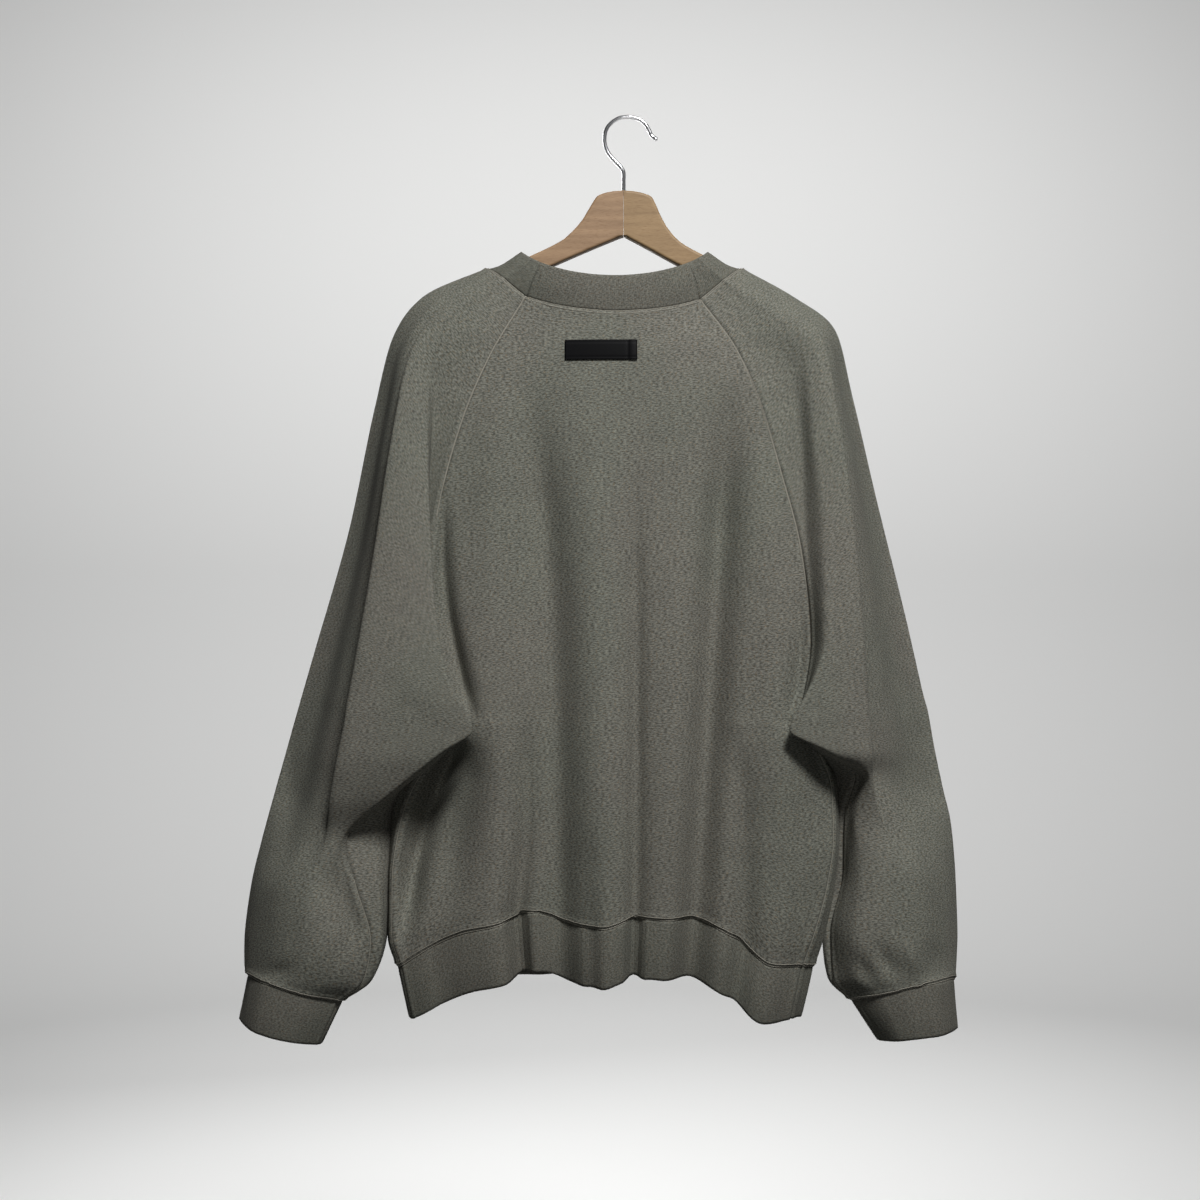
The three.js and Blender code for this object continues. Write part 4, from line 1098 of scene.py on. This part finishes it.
# Each line's distance from the tab's edge and its half width: the stitching along the two sides, the
# one across the right end, and the swell of the fold under that end.
SIDE_LINE = 2
SIDE_LINE_HALF = 0.8
END_LINE = 9
END_LINE_HALF = 1.0
END_SWELL = 4.5
END_SWELL_HALF = 3.2
END_SWELL_HEIGHT = 0.5


def panel_depth(x, z):
    """The back panel's depth at given x and z, looked up between the rows and columns of its grid."""
    grid = panels["back"][0]
    row_z = grid[:, grid.shape[1] // 2, 2]
    row = np.interp(-z, -row_z, np.arange(len(row_z)))
    low = np.clip(row.astype(int), 0, len(grid) - 2)
    lines = grid[low] + (grid[low + 1] - grid[low]) * (row - low)[..., None, None]
    after = (lines[..., 0] < x[..., None]).sum(axis=-1)[..., None, None]
    start = np.take_along_axis(lines, after - 1, axis=-2)[..., 0, :]
    end = np.take_along_axis(lines, after, axis=-2)[..., 0, :]
    share = (x - start[..., 0]) / (end[..., 0] - start[..., 0])
    return start[..., 1] + (end[..., 1] - start[..., 1]) * share


across, down = np.meshgrid(np.linspace(-0.5, 0.5, TAB_COLUMNS), np.linspace(0.5, -0.5, TAB_ROWS))
tab_x = TAB_X + across * TAB_WIDTH
tab_z = TAB_Z + down * TAB_HEIGHT
from_side = (0.5 - np.abs(down)) * TAB_HEIGHT
from_end = (0.5 - np.abs(across)) * TAB_WIDTH
right_end = across > 0
stitched = bell(from_end - END_LINE, END_LINE_HALF) * right_end
stitched = stitched + bell(from_side - SIDE_LINE, SIDE_LINE_HALF)
swell = END_SWELL_HEIGHT * bell(from_end - END_SWELL, END_SWELL_HALF) * right_end
lift = FLEECE_THICK / 2 + TAB_GAP + TAB_THICK / 2 + TAB_LOFT * (1 - stitched) + swell
tab_grid = np.stack([tab_x, panel_depth(tab_x, tab_z) - lift, tab_z], axis=-1)
black, shader = plain_material("black_tape", (0.002, 0.002, 0.0024, 1), 0.5)
set_inputs(black, shader, {"Specular IOR Level": 0.09})
place = add_node(black, "UVMap", {}, uv_map="cloth").outputs["UV"]
inputs = {"Vector": place, "Scale": 420, "Distortion": 1.5}
weave = add_node(black, "TexWave", inputs, bands_direction="DIAGONAL")
add_bump(black, shader, weave.outputs["Fac"], 0.25, 0.0003)
tab = cloth("tab_tape", tab_grid, cloth_uv(tab_grid, 0), black, "label_patch", TAB_THICK)


# The seams' coverstitching: pairs of light thread on the fleece beside each seam, laid in short
# stitches.
THREAD_RADIUS = 0.42
STITCH = 2.6
THREAD_COLOUR = (0.36, 0.34, 0.29, 1)
THREAD_SIDES = 6
THREAD_STEP = 0.85
# The thread's middle stands off the cloth by this share of its radius.
THREAD_LIFT = 0.35
PAIR_GAPS = (1.4, 4.2)
RAGLAN_GAP = 1.6
# The row at which each near raglan seam goes under the fold that hides it.
NEAR_END = {"left": 56, "right": 94}
# The row at which each side seam and each underarm seam comes out from under it.
SIDE_START = {"left": 134, "right": 130}
UNDERARM_START = {"left": 176, "right": 150}

thread, shader = plain_material("light_thread", THREAD_COLOUR, 0.7)
ply = noise(thread, object_place(thread), (1800, 1800, 1800))
tone = colour_run(thread, ply, [(0, (0.2, 0.19, 0.155, 1)), (1, (0.38, 0.355, 0.3, 1))])
set_inputs(thread, shader, {"Base Color": tone})


def line_on(grid, normal, distance, edge):
    """The line that runs on a grid at a distance from one of its edges, just above its surface, and
    the normal along it. edge is left, right, top or bottom, and the grid is turned so that this edge
    is its first column."""
    if edge in ("top", "bottom"):
        grid, normal = grid.transpose(1, 0, 2), normal.transpose(1, 0, 2)
    if edge in ("right", "bottom"):
        grid, normal = grid[:, ::-1], normal[:, ::-1]
    run = arc(grid, 1)
    rows = np.arange(len(run))
    after = np.maximum((run < distance).sum(axis=1), 1)
    start, end = run[rows, after - 1], run[rows, after]
    share = ((distance - start) / np.maximum(end - start, 1e-9))[:, None]
    spot = grid[rows, after - 1] * (1 - share) + grid[rows, after] * share
    lift = normal[rows, after]
    return spot + lift * (FLEECE_THICK / 2 + THREAD_RADIUS * THREAD_LIFT), lift


def stitched_thread(path, lift):
    """A thread along a path: a tube whose radius swells and narrows once in each stitch."""
    run = arc(path, 0)
    spots = np.linspace(0, run[-1], int(run[-1] / THREAD_STEP))
    radius = THREAD_RADIUS * (0.5 + 0.5 * np.abs(np.sin(np.pi * spots / STITCH)) ** 0.6)
    return tube(points_at(path, run, spots), points_at(lift, run, spots), radius, THREAD_SIDES)


def stitching(name, lines):
    """One mesh of several threads."""
    parts = []
    for number, line in enumerate(lines):
        parts.append(surface_mesh(f"{name}_{number}", stitched_thread(*line) * MM, closed=True))
    joined = parts[0]
    with bpy.context.temp_override(active_object=joined, selected_editable_objects=parts, object=joined):
        bpy.ops.object.join()
    joined.name = name
    joined.data.materials.append(thread)
    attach(joined, "root")
    return joined


back, front = panels["back"], panels["front"]
armpit = YOKE_STEPS - 1
lines = []
for side in ("left", "right"):
    for (grid, normal), first, last, edge in (
        (back, 0, NEAR_END[side], side),
        (front, 0, armpit, side),
        (sleeves[side], 0, NEAR_END[side], "left"),
        (sleeves[side], 0, armpit, "right"),
        (back, SIDE_START[side], None, side),
        (sleeves[side], UNDERARM_START[side], None, "left"),
    ):
        lines.append(line_on(grid[first:last], normal[first:last], RAGLAN_GAP, edge))
stitching("raglan_stitching", lines)

for name, pieces, edge in (
    ("neck_stitching", (back, front, sleeves["left"], sleeves["right"]), "top"),
    ("hem_stitching", (back, front), "bottom"),
    ("cuff_stitching", (sleeves["left"], sleeves["right"]), "bottom"),
):
    stitching(name, [line_on(*piece, gap, edge) for gap in PAIR_GAPS for piece in pieces])

low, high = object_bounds()
